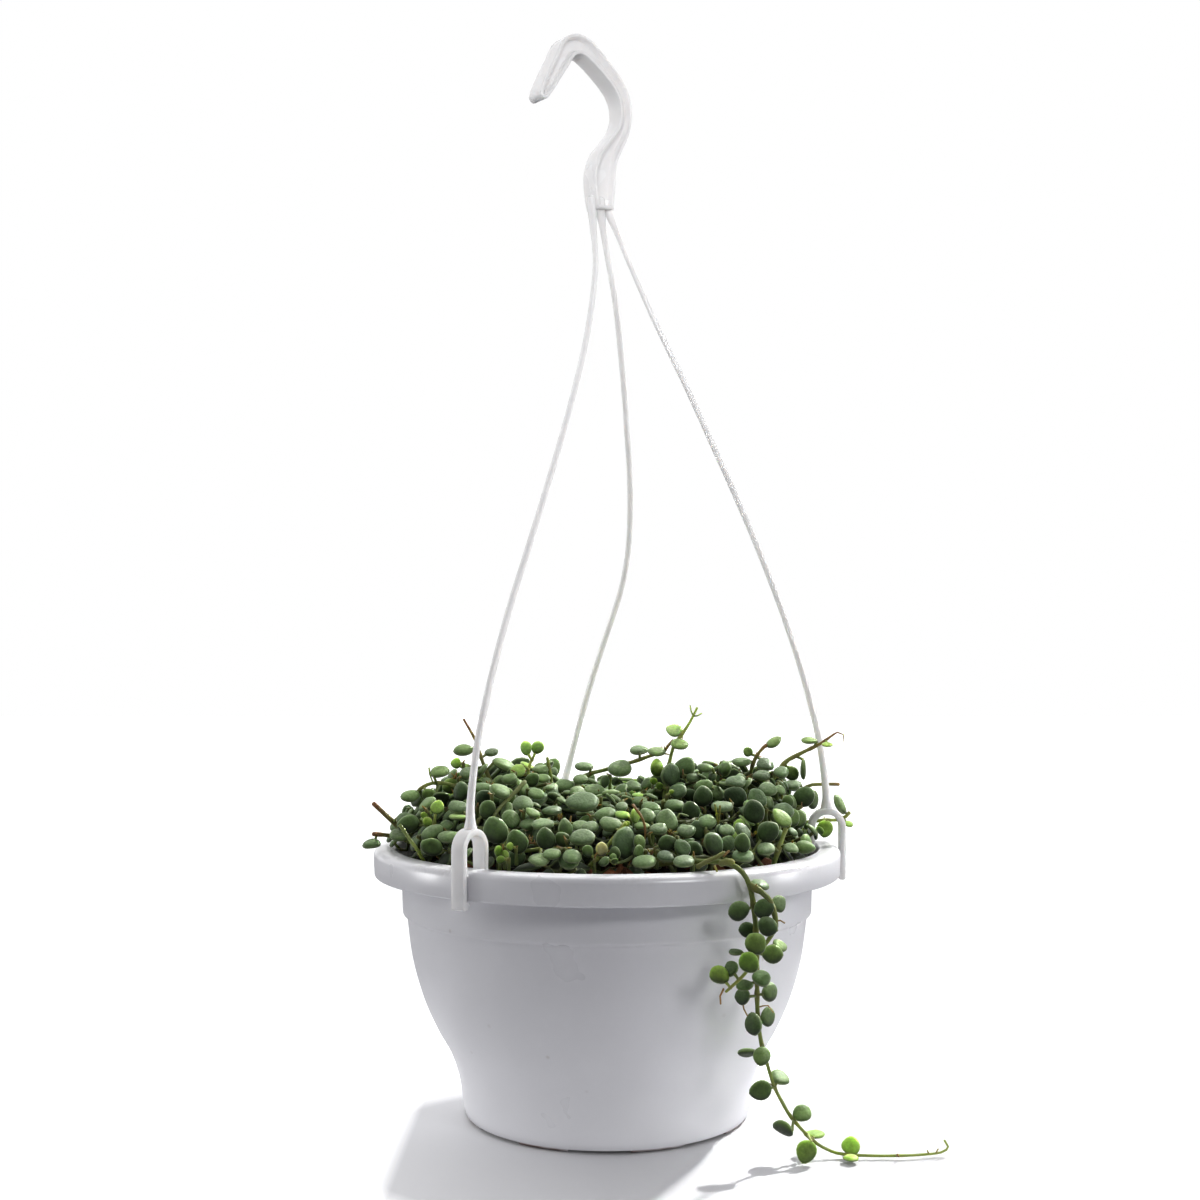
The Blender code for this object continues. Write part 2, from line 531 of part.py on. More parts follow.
def nearest_on_stem(points, place):
    """The nearest point of a stem to a place."""
    best = None
    for a, b in zip(points, points[1:]):
        t = np.clip((place - a) @ (b - a) / ((b - a) @ (b - a)), 0.05, 0.8)
        spot = a + t * (b - a)
        gap = np.linalg.norm(place - spot)
        if best is None or gap < best[0]:
            best = (gap, spot)
    return best[1]


def prism_points(a, b, radius):
    """A square tube from a to b, in mm: the space that a stretch of stem keeps for itself."""
    along = (b - a) / np.linalg.norm(b - a)
    side = np.cross(along, (0.31, 0.52, 0.79))
    side = side / np.linalg.norm(side) * radius
    other = np.cross(along, side)
    corners = [side, other, -side, -other]
    return np.array([a + c for c in corners] + [b + c for c in corners])


PRISM_FACES = [(3, 2, 1, 0), (4, 5, 6, 7), (0, 1, 5, 4), (1, 2, 6, 5), (2, 3, 7, 6), (3, 0, 4, 7)]


def add_shoot(name, stems, leaves, room):
    """One shoot as one closed solid: its stems, and leaves (centre, length, facing) grown onto them."""
    pieces = []
    for i, stem in enumerate(stems):
        count = len(stem)
        radii = [STEM_RADIUS + (TIP_RADIUS - STEM_RADIUS) * j / (count - 1) for j in range(count)]
        pieces.append(baked(tube_curve(f"{name}_stem_{i}", stem, radii, 4, CUTTERS, None)))
    points, faces = [], []
    for foot, centre, length, facing in leaves:
        faces += [tuple(i + len(points) for i in f) for f in BALL_FACES]
        points += [tuple(p * MM) for p in rooted_leaf(foot, centre, length, facing)]
    base = pieces[0]
    base.name = name
    CUTTERS.objects.unlink(base)
    PARTS.objects.link(base)
    base.data.materials.append(FOLIAGE)
    if points:
        mesh = bpy.data.meshes.new(name + "_leaves")
        mesh.from_pydata(points, [], faces)
        pieces.append(object_of(name + "_leaves", mesh, CUTTERS))
    for piece in pieces[1:]:
        join = base.modifiers.new("Join", "BOOLEAN")
        join.operation = "UNION"
        join.solver = "EXACT"
        join.use_self = True
        join.object = as_cutter(piece)
    room_for_shoot(stems, leaves, room)
    return base


def room_for_shoot(stems, leaves, room):
    points, faces = [], []
    for stem in stems:
        for a, b in zip(stem, stem[1:]):
            faces += [tuple(i + len(points) for i in f) for f in PRISM_FACES]
            points += list(prism_points(a, b, STEM_RADIUS / MM + 0.5))
    for foot, centre, length, facing in leaves:
        faces += [tuple(i + len(points) for i in f) for f in BALL_FACES]
        points += list(rooted_leaf(foot, centre, length, facing, 0.25))
    room.add(points, faces)


def placed_leaves(stems, leaves):
    """The leaves of a shoot in the shoots' tables, each with its foot on the nearest stem."""
    found = []
    for x, y, z, length, facing in leaves:
        centre = np.array((x, y, z), float)
        spots = [nearest_on_stem(stem, centre) for stem in stems]
        foot = min(spots, key=lambda spot: np.linalg.norm(spot - centre))
        foot = foot - (centre - foot) / np.linalg.norm(centre - foot) * LEAF_ROOT
        found.append((foot, centre, length, np.array(facing)))
    return found


def mound_top(x, y):
    """Height in mm of the foliage's upper surface."""
    height = MOUND_TOP - MOUND_DROP * (math.hypot(x, y) / 95) ** 4
    for cx, cy, rise, spread in MOUND_LUMPS:
        height += rise * math.exp(-((x - cx) ** 2 + (y - cy) ** 2) / (2 * spread**2))
    return height


def mound_facing(x, y):
    """The direction that the foliage's surface faces."""
    slope = np.array([mound_top(x - 2, y) - mound_top(x + 2, y), mound_top(x, y - 2) - mound_top(x, y + 2), 4])
    return slope / np.linalg.norm(slope)


def grow_stem(rng, number, room):
    """A vine's route in mm: up out of the mix, then over the mound at one of three depths."""
    depth = (0.9, 0.62, 0.35)[number % 3]
    foot = MIX_TOP / MM + TOUCH_GAP / MM
    for attempt in range(30):
        ring = ROOT_REACH * math.sqrt((number + 0.5) / FILLER_VINES) + rng.normal(0, 0.3 * attempt)
        angle = number * GOLDEN_TURN + rng.normal(0, 0.02 * attempt)
        root = np.array((ring * math.cos(angle), ring * math.sin(angle), foot))
        if ring < ROOT_REACH and room.is_clear(prism_points(root + (0, 0, 0.7), root + (0, 0, 14), 1.6), PRISM_FACES):
            break
    heading = angle + rng.uniform(-1.6, 1.6) + (math.pi if ring > 55 else 0)
    route = [root]
    for _ in range(rng.integers(10, 15)):
        last = route[-1]
        for _ in range(12):
            turn = heading + rng.normal(0, 0.35)
            goal = MIX_TOP / MM + (mound_top(last[0], last[1]) - 4 - MIX_TOP / MM) * depth
            rise = np.clip(goal - last[2], -3, FILLER_STEP)
            if len(route) == 1:
                rise = FILLER_STEP
            flat = math.sqrt(max(FILLER_STEP**2 - rise**2, 0.01))
            step = np.array((flat * math.cos(turn), flat * math.sin(turn), rise))
            there = last + step
            out = math.hypot(there[0], there[1])
            start = last if len(route) > 1 else last + (0, 0, 0.6)
            if out < VINE_REACH and room.is_clear(prism_points(start, there + step * 0.1, 1.5), PRISM_FACES):
                route.append(there)
                heading = turn
                break
            heading += rng.uniform(-0.9, 0.9)
        else:
            break
    return route


def grow_leaves(rng, route, room):
    """Leaf pairs along a vine's route, each leaf turned until it is clear of all others."""
    own = Room()
    leaves = []
    for i in range(2, len(route), 2):
        along = route[i] - route[i - 1]
        along = along / np.linalg.norm(along)
        node = route[i] - along
        face = mound_facing(node[0], node[1])
        side = np.cross(along, face)
        side = side / np.linalg.norm(side)
        for hand in (-1, 1):
            for attempt in range(10):
                length = rng.uniform(8.5, 12.5) * (1 - 0.03 * attempt)
                out = hand * side + along * rng.uniform(-0.2, 0.6) + face * rng.uniform(-0.2, 0.7)
                out = out / np.linalg.norm(out)
                facing = face + rng.normal(0, 0.45, 3)
                centre = node + out * (length / 2 + 1.6)
                foot = node - out * LEAF_ROOT
                space = leaf_points(foot, centre, length, facing, 0.45)
                if space[:, 2].min() < MIX_TOP / MM + 0.5:
                    continue
                if room.is_clear(space, BALL_FACES) and own.is_clear(space, BALL_FACES):
                    leaves.append((foot, centre, length, facing))
                    own.add(space, BALL_FACES)
                    break
    return leaves


def make_plant(solids):
    room = Room()
    for obj in solids:
        room.add_object(obj)
    stems = [smooth_points(rooted(TRAILING_STEM), 9), smooth_points(TRAILING_BRANCH, 9)]
    add_shoot("vine_trailing", stems, placed_leaves(stems, TRAILING_LEAVES), room)
    for name, (route, leaves) in SHOOTS.items():
        stems = [smooth_points(rooted(route), 12)]
        add_shoot(name, stems, placed_leaves(stems, leaves), room)
    grown = 0
    for number in range(FILLER_VINES):
        rng = np.random.default_rng(number)
        route = grow_stem(rng, number, room)
        if len(route) >= SHORTEST_VINE:
            grown += 1
            add_shoot(f"vine_{grown:02d}", [route], grow_leaves(rng, route, room), room)


def main():
    solids = [make_pot(), make_mix(), make_hook()]
    for side in STRAND_ROUTES:
        solids.append(make_strand(side))
        solids.append(make_clip(side))
    bpy.context.view_layer.update()
    make_plant(solids)


main()
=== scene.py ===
"""Looks of the potted string of nickels: glossy pot, clip-on hanger, potting mix and vines."""

import math

import bmesh
import bpy
import numpy as np
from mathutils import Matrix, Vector, noise
from mathutils.bvhtree import BVHTree


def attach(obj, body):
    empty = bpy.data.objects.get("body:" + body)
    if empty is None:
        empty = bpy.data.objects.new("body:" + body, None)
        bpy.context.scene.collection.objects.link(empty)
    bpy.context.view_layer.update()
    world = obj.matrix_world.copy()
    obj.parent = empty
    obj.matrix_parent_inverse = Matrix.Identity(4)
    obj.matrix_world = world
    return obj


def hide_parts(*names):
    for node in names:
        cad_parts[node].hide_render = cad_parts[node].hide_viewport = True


MM = 0.001
BODY = "root"

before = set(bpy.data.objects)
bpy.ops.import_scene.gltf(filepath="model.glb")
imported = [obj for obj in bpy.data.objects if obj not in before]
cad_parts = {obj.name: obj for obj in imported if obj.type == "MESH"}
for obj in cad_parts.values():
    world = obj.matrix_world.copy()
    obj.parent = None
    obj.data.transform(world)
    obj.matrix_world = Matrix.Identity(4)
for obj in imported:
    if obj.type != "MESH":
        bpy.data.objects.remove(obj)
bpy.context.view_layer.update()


# ---------------------------------------------------------------- workshop helpers


BEVEL_STEPS = 3
BEVEL_ANGLE = math.radians(40)
ASKEW = (0.31, 0.52, 0.79)  # a direction that no stem runs along
END_REACH, END_SHRINK, TIP_REACH = 0.4, 0.6, 0.35  # of a tube's rounded ends, as shares of its radius


def only(piece):
    """Selects one piece and nothing else."""
    bpy.ops.object.select_all(action="DESELECT")
    piece.select_set(True)
    bpy.context.view_layer.objects.active = piece


def start_piece(kind, name, **values):
    """A new piece from a plain circle, cube or plane."""
    bpy.ops.object.select_all(action="DESELECT")
    getattr(bpy.ops.mesh, f"primitive_{kind}_add")(**values)
    bpy.context.object.name = name
    return bpy.context.object


def open_piece(piece):
    """Starts work on a piece in edit mode, with all its faces selected."""
    only(piece)
    bpy.ops.object.mode_set(mode="EDIT")
    bpy.ops.mesh.select_mode(type="FACE")
    bpy.ops.mesh.select_all(action="SELECT")


def close_piece(outward=False):
    """Ends work on a piece, and turns all its faces outward first where that is asked for."""
    if outward:
        bpy.ops.mesh.select_all(action="SELECT")
        bpy.ops.mesh.normals_make_consistent(inside=False)
    bpy.ops.object.mode_set(mode="OBJECT")


def pick_faces(piece, wanted):
    """In edit mode, selects only the faces that pass a test."""
    bpy.ops.mesh.select_all(action="DESELECT")
    for face in bmesh.from_edit_mesh(piece.data).faces:
        if wanted(face):
            face.select_set(True)
    bmesh.update_edit_mesh(piece.data)


def draw_out(rise):
    bpy.ops.mesh.extrude_region_move(TRANSFORM_OT_translate={"value": rise})


def turn_on_wheel(name, outline, steps, scale=MM, fill="NGON"):
    """A turned piece: a disc is drawn up and out along an outline of (radius, height) times a scale."""
    radius, height = outline[0]
    piece = start_piece("circle", name, vertices=steps, radius=radius * scale, fill_type=fill)
    open_piece(piece)
    bpy.ops.transform.translate(value=(0, 0, height * scale))
    for (r0, z0), (r1, z1) in zip(outline, outline[1:]):
        draw_out((0, 0, (z1 - z0) * scale))
        bpy.ops.transform.resize(value=(r1 / r0, r1 / r0, 1), center_override=(0, 0, 0))
    close_piece(outward=True)
    return piece


def take_apart(piece):
    """A piece's points and faces, for use in another piece. The piece itself goes."""
    points = np.array([v.co[:] for v in piece.data.vertices])
    faces = [tuple(f.vertices) for f in piece.data.polygons]
    bpy.data.objects.remove(piece, do_unlink=True)
    return points, faces


def settle(piece):
    """Puts the piece's place into its mesh, so that its object sits at the origin."""
    only(piece)
    bpy.ops.object.transform_apply(location=True, rotation=True, scale=True)


def finish_modifiers(piece):
    only(piece)
    for modifier in list(piece.modifiers):
        bpy.ops.object.modifier_apply(modifier=modifier.name)


def round_edges(piece, width):
    bevel = piece.modifiers.new("Rounded edges", "BEVEL")
    bevel.width = width * MM
    bevel.segments = BEVEL_STEPS
    bevel.limit_method = "ANGLE"
    bevel.angle_limit = BEVEL_ANGLE
    bevel.use_clamp_overlap = True
    finish_modifiers(piece)


def smooth(piece, angle):
    only(piece)
    bpy.ops.object.shade_smooth_by_angle(angle=math.radians(angle))


def combine(piece, others, operation="UNION"):
    for other in others:
        join = piece.modifiers.new("Join", "BOOLEAN")
        join.operation = operation
        join.solver = "EXACT"
        join.object = other
    finish_modifiers(piece)
    for other in others:
        bpy.data.objects.remove(other, do_unlink=True)


def give(piece, finish, slot, *nodes):
    """Gives a finished piece its material and its body, and hides the CAD nodes that it stands for. The slot
    is not used.
    """
    if finish:
        piece.data.materials.clear()
        piece.data.materials.append(finish)
    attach(piece, BODY)
    if nodes:
        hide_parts(*nodes)


def new_piece(name, verts, faces):
    mesh = bpy.data.meshes.new(name)
    mesh.from_pydata([tuple(v) for v in np.asarray(verts) * MM], [], faces)
    return link_new(name, mesh)


def link_new(name, data):
    holder = bpy.data.objects.new(name, data)
    bpy.context.scene.collection.objects.link(holder)
    return holder


def smooth_points(points, spacing):
    """Points of a Catmull-Rom curve through the route, about one spacing apart."""
    points = [np.array(p, float) for p in points]
    ends = [2 * points[0] - points[1], *points, 2 * points[-1] - points[-2]]
    found = []
    for a, b, c, d in zip(ends, ends[1:], ends[2:], ends[3:]):
        steps = max(1, round(float(np.linalg.norm(c - b)) / spacing))
        for i in range(steps):
            t = i / steps
            bend, twist = 2 * a - 5 * b + 4 * c - d, 3 * b - a - 3 * c + d
            found.append(0.5 * (2 * b + (c - a) * t + bend * t**2 + twist * t**3))
    return [*found, points[-1]]


def unit(v):
    return v / np.linalg.norm(v)


def around(steps):
    return [math.tau * j / steps for j in range(steps)]


def shifted(faces, base):
    return [tuple(i + base for i in face) for face in faces]


def tube(points, radii, sides):
    """Points and faces of a round tube along a route, with rounded ends, in mm."""
    points = [np.asarray(p, float) for p in points]
    start, end = unit(points[1] - points[0]), unit(points[-1] - points[-2])
    points = [points[0] - start * radii[0] * END_REACH, *points, points[-1] + end * radii[-1] * END_REACH]
    radii = [radii[0] * END_SHRINK, *radii, radii[-1] * END_SHRINK]
    last = len(points) - 1
    side = unit(np.cross(unit(points[1] - points[0]), ASKEW))
    verts, faces = [], []
    for i, (point, radius) in enumerate(zip(points, radii)):
        along = unit(points[min(i + 1, last)] - points[max(i - 1, 0)])
        side = unit(side - along * (side @ along))
        other = np.cross(along, side)
        verts += [point + radius * (math.cos(t) * side + math.sin(t) * other) for t in around(sides)]
    turns = [(j, (j + 1) % sides) for j in range(sides)]
    for a in range(0, last * sides, sides):
        faces += [(a + j, a + k, a + sides + k, a + sides + j) for j, k in turns]
    tip, rim = len(verts), last * sides
    verts += [points[0] - start * radii[0] * TIP_REACH, points[-1] + end * radii[-1] * TIP_REACH]
    faces += [(k, j, tip) for j, k in turns] + [(rim + j, rim + k, tip + 1) for j, k in turns]
    return np.array(verts), faces


# ---------------------------------------------------------------- finishes


class Nodes:
    """Short ways to add nodes to a tree. Each value is a plain one or another node's output."""

    def __init__(self, tree):
        self.tree = tree

    def fill(self, socket, value):
        if isinstance(value, bpy.types.NodeSocket):
            self.tree.links.new(value, socket)
        else:
            socket.default_value = (*value, 1) if socket.type == "RGBA" else value

    def add(self, kind, inputs=None, **values):
        """A node of a kind, with properties set by name and inputs filled from a dict."""
        node = self.tree.nodes.new("ShaderNode" + kind)
        for key, value in values.items():
            setattr(node, key, value)
        for key, value in (inputs or {}).items():
            self.fill(node.inputs[key], value)
        return node

    def maths(self, operation, *terms, clamp=False):
        node = self.add("Math", dict(enumerate(terms)), operation=operation, use_clamp=clamp)
        return node.outputs[0]

    def times(self, product, *others):
        for other in others:
            product = self.maths("MULTIPLY", product, other)
        return product

    def spread(self, value, low, high, to_low=0.0, to_high=1.0):
        """Maps low..high onto to_low..to_high, and no further."""
        terms = dict(enumerate((value, low, high, to_low, to_high)))
        return self.add("MapRange", terms, clamp=True).outputs[0]

    def blend(self, factor, a, b, kind="MIX"):
        return self.add("Mix", {0: factor, 6: a, 7: b}, data_type="RGBA", blend_type=kind).outputs[2]

    def dim(self, colour, share):
        grey = self.add("CombineColor", {0: share, 1: share, 2: share})
        return self.blend(1.0, colour, grey.outputs[0], "MULTIPLY")

    def split(self, vector):
        return self.add("SeparateXYZ", {0: vector}).outputs[:3]

    def length(self, vector):
        return self.add("VectorMath", {0: vector}, operation="LENGTH").outputs["Value"]

    def place(self):
        return self.add("TexCoord").outputs["Object"]

    def is_seen(self):
        """1 where the camera looks straight at a surface, and 0 for light that bounces."""
        return self.add("LightPath").outputs["Is Camera Ray"]

    def painted(self, name):
        """The three channels of a colour that is painted on the mesh's points."""
        colour = self.add("Attribute", attribute_name=name).outputs["Color"]
        return self.add("SeparateColor", {0: colour}).outputs[:3]


def make_mottle():
    """Soft blotches, finer flecks and sparse specks over a surface, each with a scale of its own."""
    kinds = ("Blotch", "Fleck", "Speck")
    tree = bpy.data.node_groups.new("mottle", "ShaderNodeTree")
    for kind in kinds:
        tree.interface.new_socket(name=kind + " Scale", in_out="INPUT", socket_type="NodeSocketFloat")
    for kind in kinds:
        tree.interface.new_socket(name=kind, in_out="OUTPUT", socket_type="NodeSocketFloat")
    given, out = tree.nodes.new("NodeGroupInput"), tree.nodes.new("NodeGroupOutput")
    mottle = Nodes(tree)
    place = mottle.place()
    blotch, fleck, speck = ({"Vector": place, "Scale": scale} for scale in given.outputs[:3])
    cells = mottle.add("TexVoronoi", speck)
    choice = mottle.add("SeparateColor", {0: cells.outputs["Color"]}).outputs[0]
    rare, small = mottle.spread(choice, 0.93, 0.95), mottle.spread(cells.outputs["Distance"], 0.16, 0.05)
    mottle.fill(out.inputs[0], mottle.add("TexNoise", {**blotch, "Detail": 3.0}).outputs[0])
    mottle.fill(out.inputs[1], mottle.add("TexNoise", {**fleck, "Detail": 2.0}).outputs[0])
    mottle.fill(out.inputs[2], mottle.times(rare, small))
    return tree


MOTTLE = make_mottle()


class Finish(Nodes):
    """A material in the making: its shader and, where scales are given, its mottle."""

    def __init__(self, name, *scales):
        self.material = bpy.data.materials.new(name)
        self.material.use_nodes = True
        super().__init__(self.material.node_tree)
        self.shader = self.tree.nodes["Principled BSDF"]
        if scales:
            mottle = self.tree.nodes.new("ShaderNodeGroup")
            mottle.node_tree = MOTTLE
            for socket, scale in zip(mottle.inputs, scales):
                socket.default_value = scale
            self.blotch, self.fleck, self.speck = mottle.outputs[:3]

    def set(self, **values):
        """Sets the shader's inputs by name, with _ for a space."""
        for key, value in values.items():
            self.fill(self.shader.inputs[key.replace("_", " ")], value)

    def bump(self, strength, depth, height):
        bump = self.add("Bump", {"Strength": strength, "Distance": depth, "Height": height})
        self.set(Normal=bump.outputs[0])

    def glow(self, weight, reach):
        """Light that goes some way into the surface: how much of it, and its reach in metres."""
        self.set(Subsurface_Weight=weight, Subsurface_Radius=reach, Subsurface_Scale=1.0)


def make_pot_gloss():
    """Glossy white polypropylene: faint blotches, a few specks, a scuffed rim, and painted contact shade at
    the foot.
    """
    pot = Finish("glossy_white_pot", 28, 700, 130)
    colour = pot.blend(pot.spread(pot.blotch, 0.35, 0.7), (0.77, 0.77, 0.80), (0.80, 0.80, 0.83))
    colour = pot.blend(pot.times(pot.speck, 0.3), colour, (0.25, 0.19, 0.14))
    height = pot.split(pot.place())[2]
    rim = pot.times(pot.spread(height, 0.109, 0.1145), pot.spread(pot.blotch, 0.52, 0.68))
    scuffs = pot.times(rim, pot.spread(pot.fleck, 0.35, 0.6, 0.0, 0.45))
    colour = pot.blend(scuffs, colour, (0.40, 0.38, 0.35))
    # Painted contact shade: red-brown patches on the foot below 1.5 mm, strongest below 0.9 mm, where it
    # meets the table.
    foot_contact_shade = pot.times(pot.spread(height, 0.0015, 0.0009), pot.spread(pot.blotch, 0.36, 0.46), 0.9)
    colour = pot.blend(foot_contact_shade, colour, (0.16, 0.07, 0.05))
    pot.set(Base_Color=colour, Roughness=pot.spread(pot.blotch, 0.3, 0.7, 0.27, 0.33), IOR=1.8)
    pot.bump(0.05, 0.0006, pot.maths("ADD", pot.blotch, pot.times(pot.fleck, 0.05)))
    return pot.material


def make_hanger_plastic():
    """Milky white nylon, a little cloudy, with soft flow marks."""
    nylon = Finish("milky_white_hanger", 90, 900, 260)
    cloud = nylon.spread(nylon.blotch, 0.35, 0.7)
    colour = nylon.blend(cloud, (0.87, 0.86, 0.86), (0.91, 0.90, 0.90))
    colour = nylon.blend(nylon.times(nylon.speck, 0.1), colour, (0.50, 0.44, 0.38))
    nylon.set(Base_Color=colour, Roughness=nylon.spread(nylon.blotch, 0.3, 0.7, 0.20, 0.28))
    nylon.bump(0.12, 0.0003, nylon.blotch)
    nylon.glow(0.6, (0.005, 0.0047, 0.0045))
    return nylon.material


def make_mix_finish():
    """Peat and composted bark: near black crumbs with brown and orange chips."""
    mix = Finish("peat_and_bark", 120, 900, 300)
    bark = mix.add("Attribute", attribute_name="bark").outputs["Fac"]
    peat = mix.blend(mix.spread(mix.fleck, 0.35, 0.65), (0.008, 0.006, 0.005), (0.035, 0.022, 0.015))
    chip = mix.blend(mix.spread(mix.blotch, 0.35, 0.65), (0.06, 0.022, 0.010), (0.30, 0.12, 0.05))
    colour = mix.blend(mix.times(mix.speck, 0.6), mix.blend(bark, peat, chip), (0.40, 0.37, 0.32))
    mix.set(Base_Color=colour, Roughness=mix.spread(mix.fleck, 0.3, 0.7, 0.8, 1.0))
    mix.bump(0.8, 0.0006, mix.fleck)
    return mix.material


def make_leaf_skin(name, old, young, bloom_and_sheen, glow, reach):
    """Thick leaf skin from an old green to a young one, with a fine pale margin, a bloom that is partly a
    painted sheen, and painted light and shade.
    """
    skin = Finish(name, 240, 1000, 500)
    youth, tone_and_shade, leaf_bloom_and_sheen = skin.painted("growth")
    margin, under, pale_and_backlit = skin.painted("spot")
    colour = skin.blend(youth, skin.blend(tone_and_shade, *old), skin.blend(tone_and_shade, *young))
    # Young leaves are washed paler: partly their own colour, partly painted light, as if lit through.
    colour = skin.blend(pale_and_backlit, colour, (0.60, 0.74, 0.44))
    facing = skin.split(skin.add("NewGeometry").outputs["Normal"])[2]
    # Painted light and shade: faces that look up are lightened up to 1.6 times, faces that look down darkened
    # to 0.2, and leaves deep in the mound, whose tone is below 0.2, darkened to 0.3.
    shade = skin.times(
        skin.spread(skin.blotch, 0.3, 0.7, 0.78, 1.2), skin.spread(skin.fleck, 0.3, 0.7, 0.86, 1.14),
        skin.spread(facing, -0.40, 0.80, 0.20, 1.60), skin.spread(tone_and_shade, 0.0, 0.2, 0.3, 1.0))
    colour = skin.dim(colour, shade)
    # The bloom is partly real and partly a painted sheen: it is laid on faces that look up, and less of it on
    # leaves deep in the mound.
    bloom_and_painted_sheen = skin.spread(skin.fleck, 0.3, 0.7, 0.35 * bloom_and_sheen, 1.1 * bloom_and_sheen)
    bloom_and_painted_sheen = skin.times(bloom_and_painted_sheen, skin.spread(facing, 0.1, 0.9, 0.05, 1.0), leaf_bloom_and_sheen)
    colour = skin.blend(bloom_and_painted_sheen, colour, (0.46, 0.50, 0.39))
    colour = skin.blend(skin.times(under, 0.3), colour, (0.30, 0.38, 0.25))
    colour = skin.blend(skin.times(skin.spread(margin, 0.72, 1.0), 0.5), colour, (0.36, 0.44, 0.22))
    skin.set(Base_Color=colour, Roughness=skin.spread(skin.fleck, 0.3, 0.7, 0.46, 0.64))
    skin.set(Sheen_Weight=0.12, Sheen_Roughness=0.4)
    skin.bump(0.4, 0.0003, skin.maths("ADD", skin.fleck, skin.times(skin.blotch, 1.5)))
    skin.glow(glow, reach)
    return skin.material


def make_stem_finish():
    """Wiry green stem, browner at its nodes and where it is old, and darkened with painted shade where its
    tone is low.
    """
    stem = Finish("wiry_stem", 300, 1600, 700)
    youth, tone_and_shade, _ = stem.painted("growth")
    woody, _, _ = stem.painted("spot")
    green = stem.blend(youth, (0.16, 0.22, 0.080), (0.50, 0.60, 0.15))
    # Painted shade: a stem with a tone below 0.5 is darkened, down to a quarter at 0.
    green = stem.dim(green, stem.spread(tone_and_shade, 0.0, 0.5, 0.25, 1.0))
    green = stem.blend(stem.spread(stem.blotch, 0.35, 0.7, 0.0, 0.3), green, (0.20, 0.24, 0.12))
    brown = stem.blend(stem.fleck, (0.15, 0.070, 0.035), (0.46, 0.27, 0.14))
    stem.set(Base_Color=stem.blend(woody, green, brown), Specular_IOR_Level=0.25)
    stem.set(Roughness=stem.spread(stem.fleck, 0.3, 0.7, 0.45, 0.65))
    stem.bump(0.5, 0.0003, stem.fleck)
    stem.glow(0.6, (0.0016, 0.0018, 0.0008))
    return stem.material


def make_floor_finish():
    """A white studio table, pure white beyond the pot's shadow through a painted glow that only the camera
    sees.
    """
    table = Finish("white_table")
    place, seen = table.place(), table.is_seen()
    apart, side = table.length(place), table.split(place)[0]
    # Painted light: near the pot the camera sees the table lighter than the light that bounces off it, and
    # from 20 to 40 cm out it turns a dark grey, which the camera's glow covers.
    near = table.blend(seen, (0.32, 0.32, 0.34), (0.66, 0.66, 0.68))
    colour = table.blend(table.spread(apart, 0.20, 0.40), near, (0.20, 0.20, 0.21))
    # Painted light that only the camera sees: the table glows pure white past an oval round the pot and left
    # of its shadow, and a faint glow inside the oval, growing to the left, lightens the shadow itself.
    oval = {"Vector": place, "Location": (-0.027, 0.05, 0), "Scale": (0.667, 1, 1)}
    beyond = table.length(table.add("Mapping", oval).outputs[0])
    painted_glow_seen = table.maths(
        "ADD", table.spread(beyond, 0.095, 0.12, 0.03, 1.0), table.spread(side, 0.0, -0.08, 0.0, 0.12))
    painted_glow_seen = table.maths("ADD", painted_glow_seen, table.spread(side, -0.080, -0.094), clamp=True)
    # Painted light that the camera doesn't see: a glowing ring from 6 to 24 cm round the pot's foot throws
    # extra light back onto the pot.
    painted_glow_thrown = table.times(table.spread(apart, 0.07, 0.24, 0.48, 0.0), table.spread(apart, 0.060, 0.066))
    light = table.add("Mix", {0: seen, 2: painted_glow_thrown, 3: painted_glow_seen}).outputs[0]
    table.set(Base_Color=colour, Emission_Color=table.blend(light, (0.0, 0.0, 0.0), (1.0, 1.0, 1.0)))
    table.set(Roughness=0.6, Emission_Strength=1.0)
    return table.material


POT_GLOSS = make_pot_gloss()
HANGER_PLASTIC = make_hanger_plastic()
MIX_FINISH = make_mix_finish()
GREEN, LIME = ((0.028, 0.066, 0.018), (0.080, 0.155, 0.040)), ((0.21, 0.38, 0.045), (0.36, 0.52, 0.09))
CREAM = ((0.55, 0.55, 0.28), (0.62, 0.60, 0.34))
GROWN_FINISHES = (  # in the order of LEAF, STEM, YOUNG_LEAF, PALE_LEAF
    make_leaf_skin("nickel_leaf_skin", GREEN, LIME, 0.46, 0.2, (0.0014, 0.0024, 0.0008)),
    make_stem_finish(),
    make_leaf_skin("young_leaf_skin", GREEN, LIME, 0.15, 0.7, (0.0030, 0.0036, 0.0018)),
    make_leaf_skin("pale_leaf_skin", CREAM, CREAM, 0.1, 0.6, (0.0030, 0.0030, 0.0015)),
)


# ---------------------------------------------------------------- pot


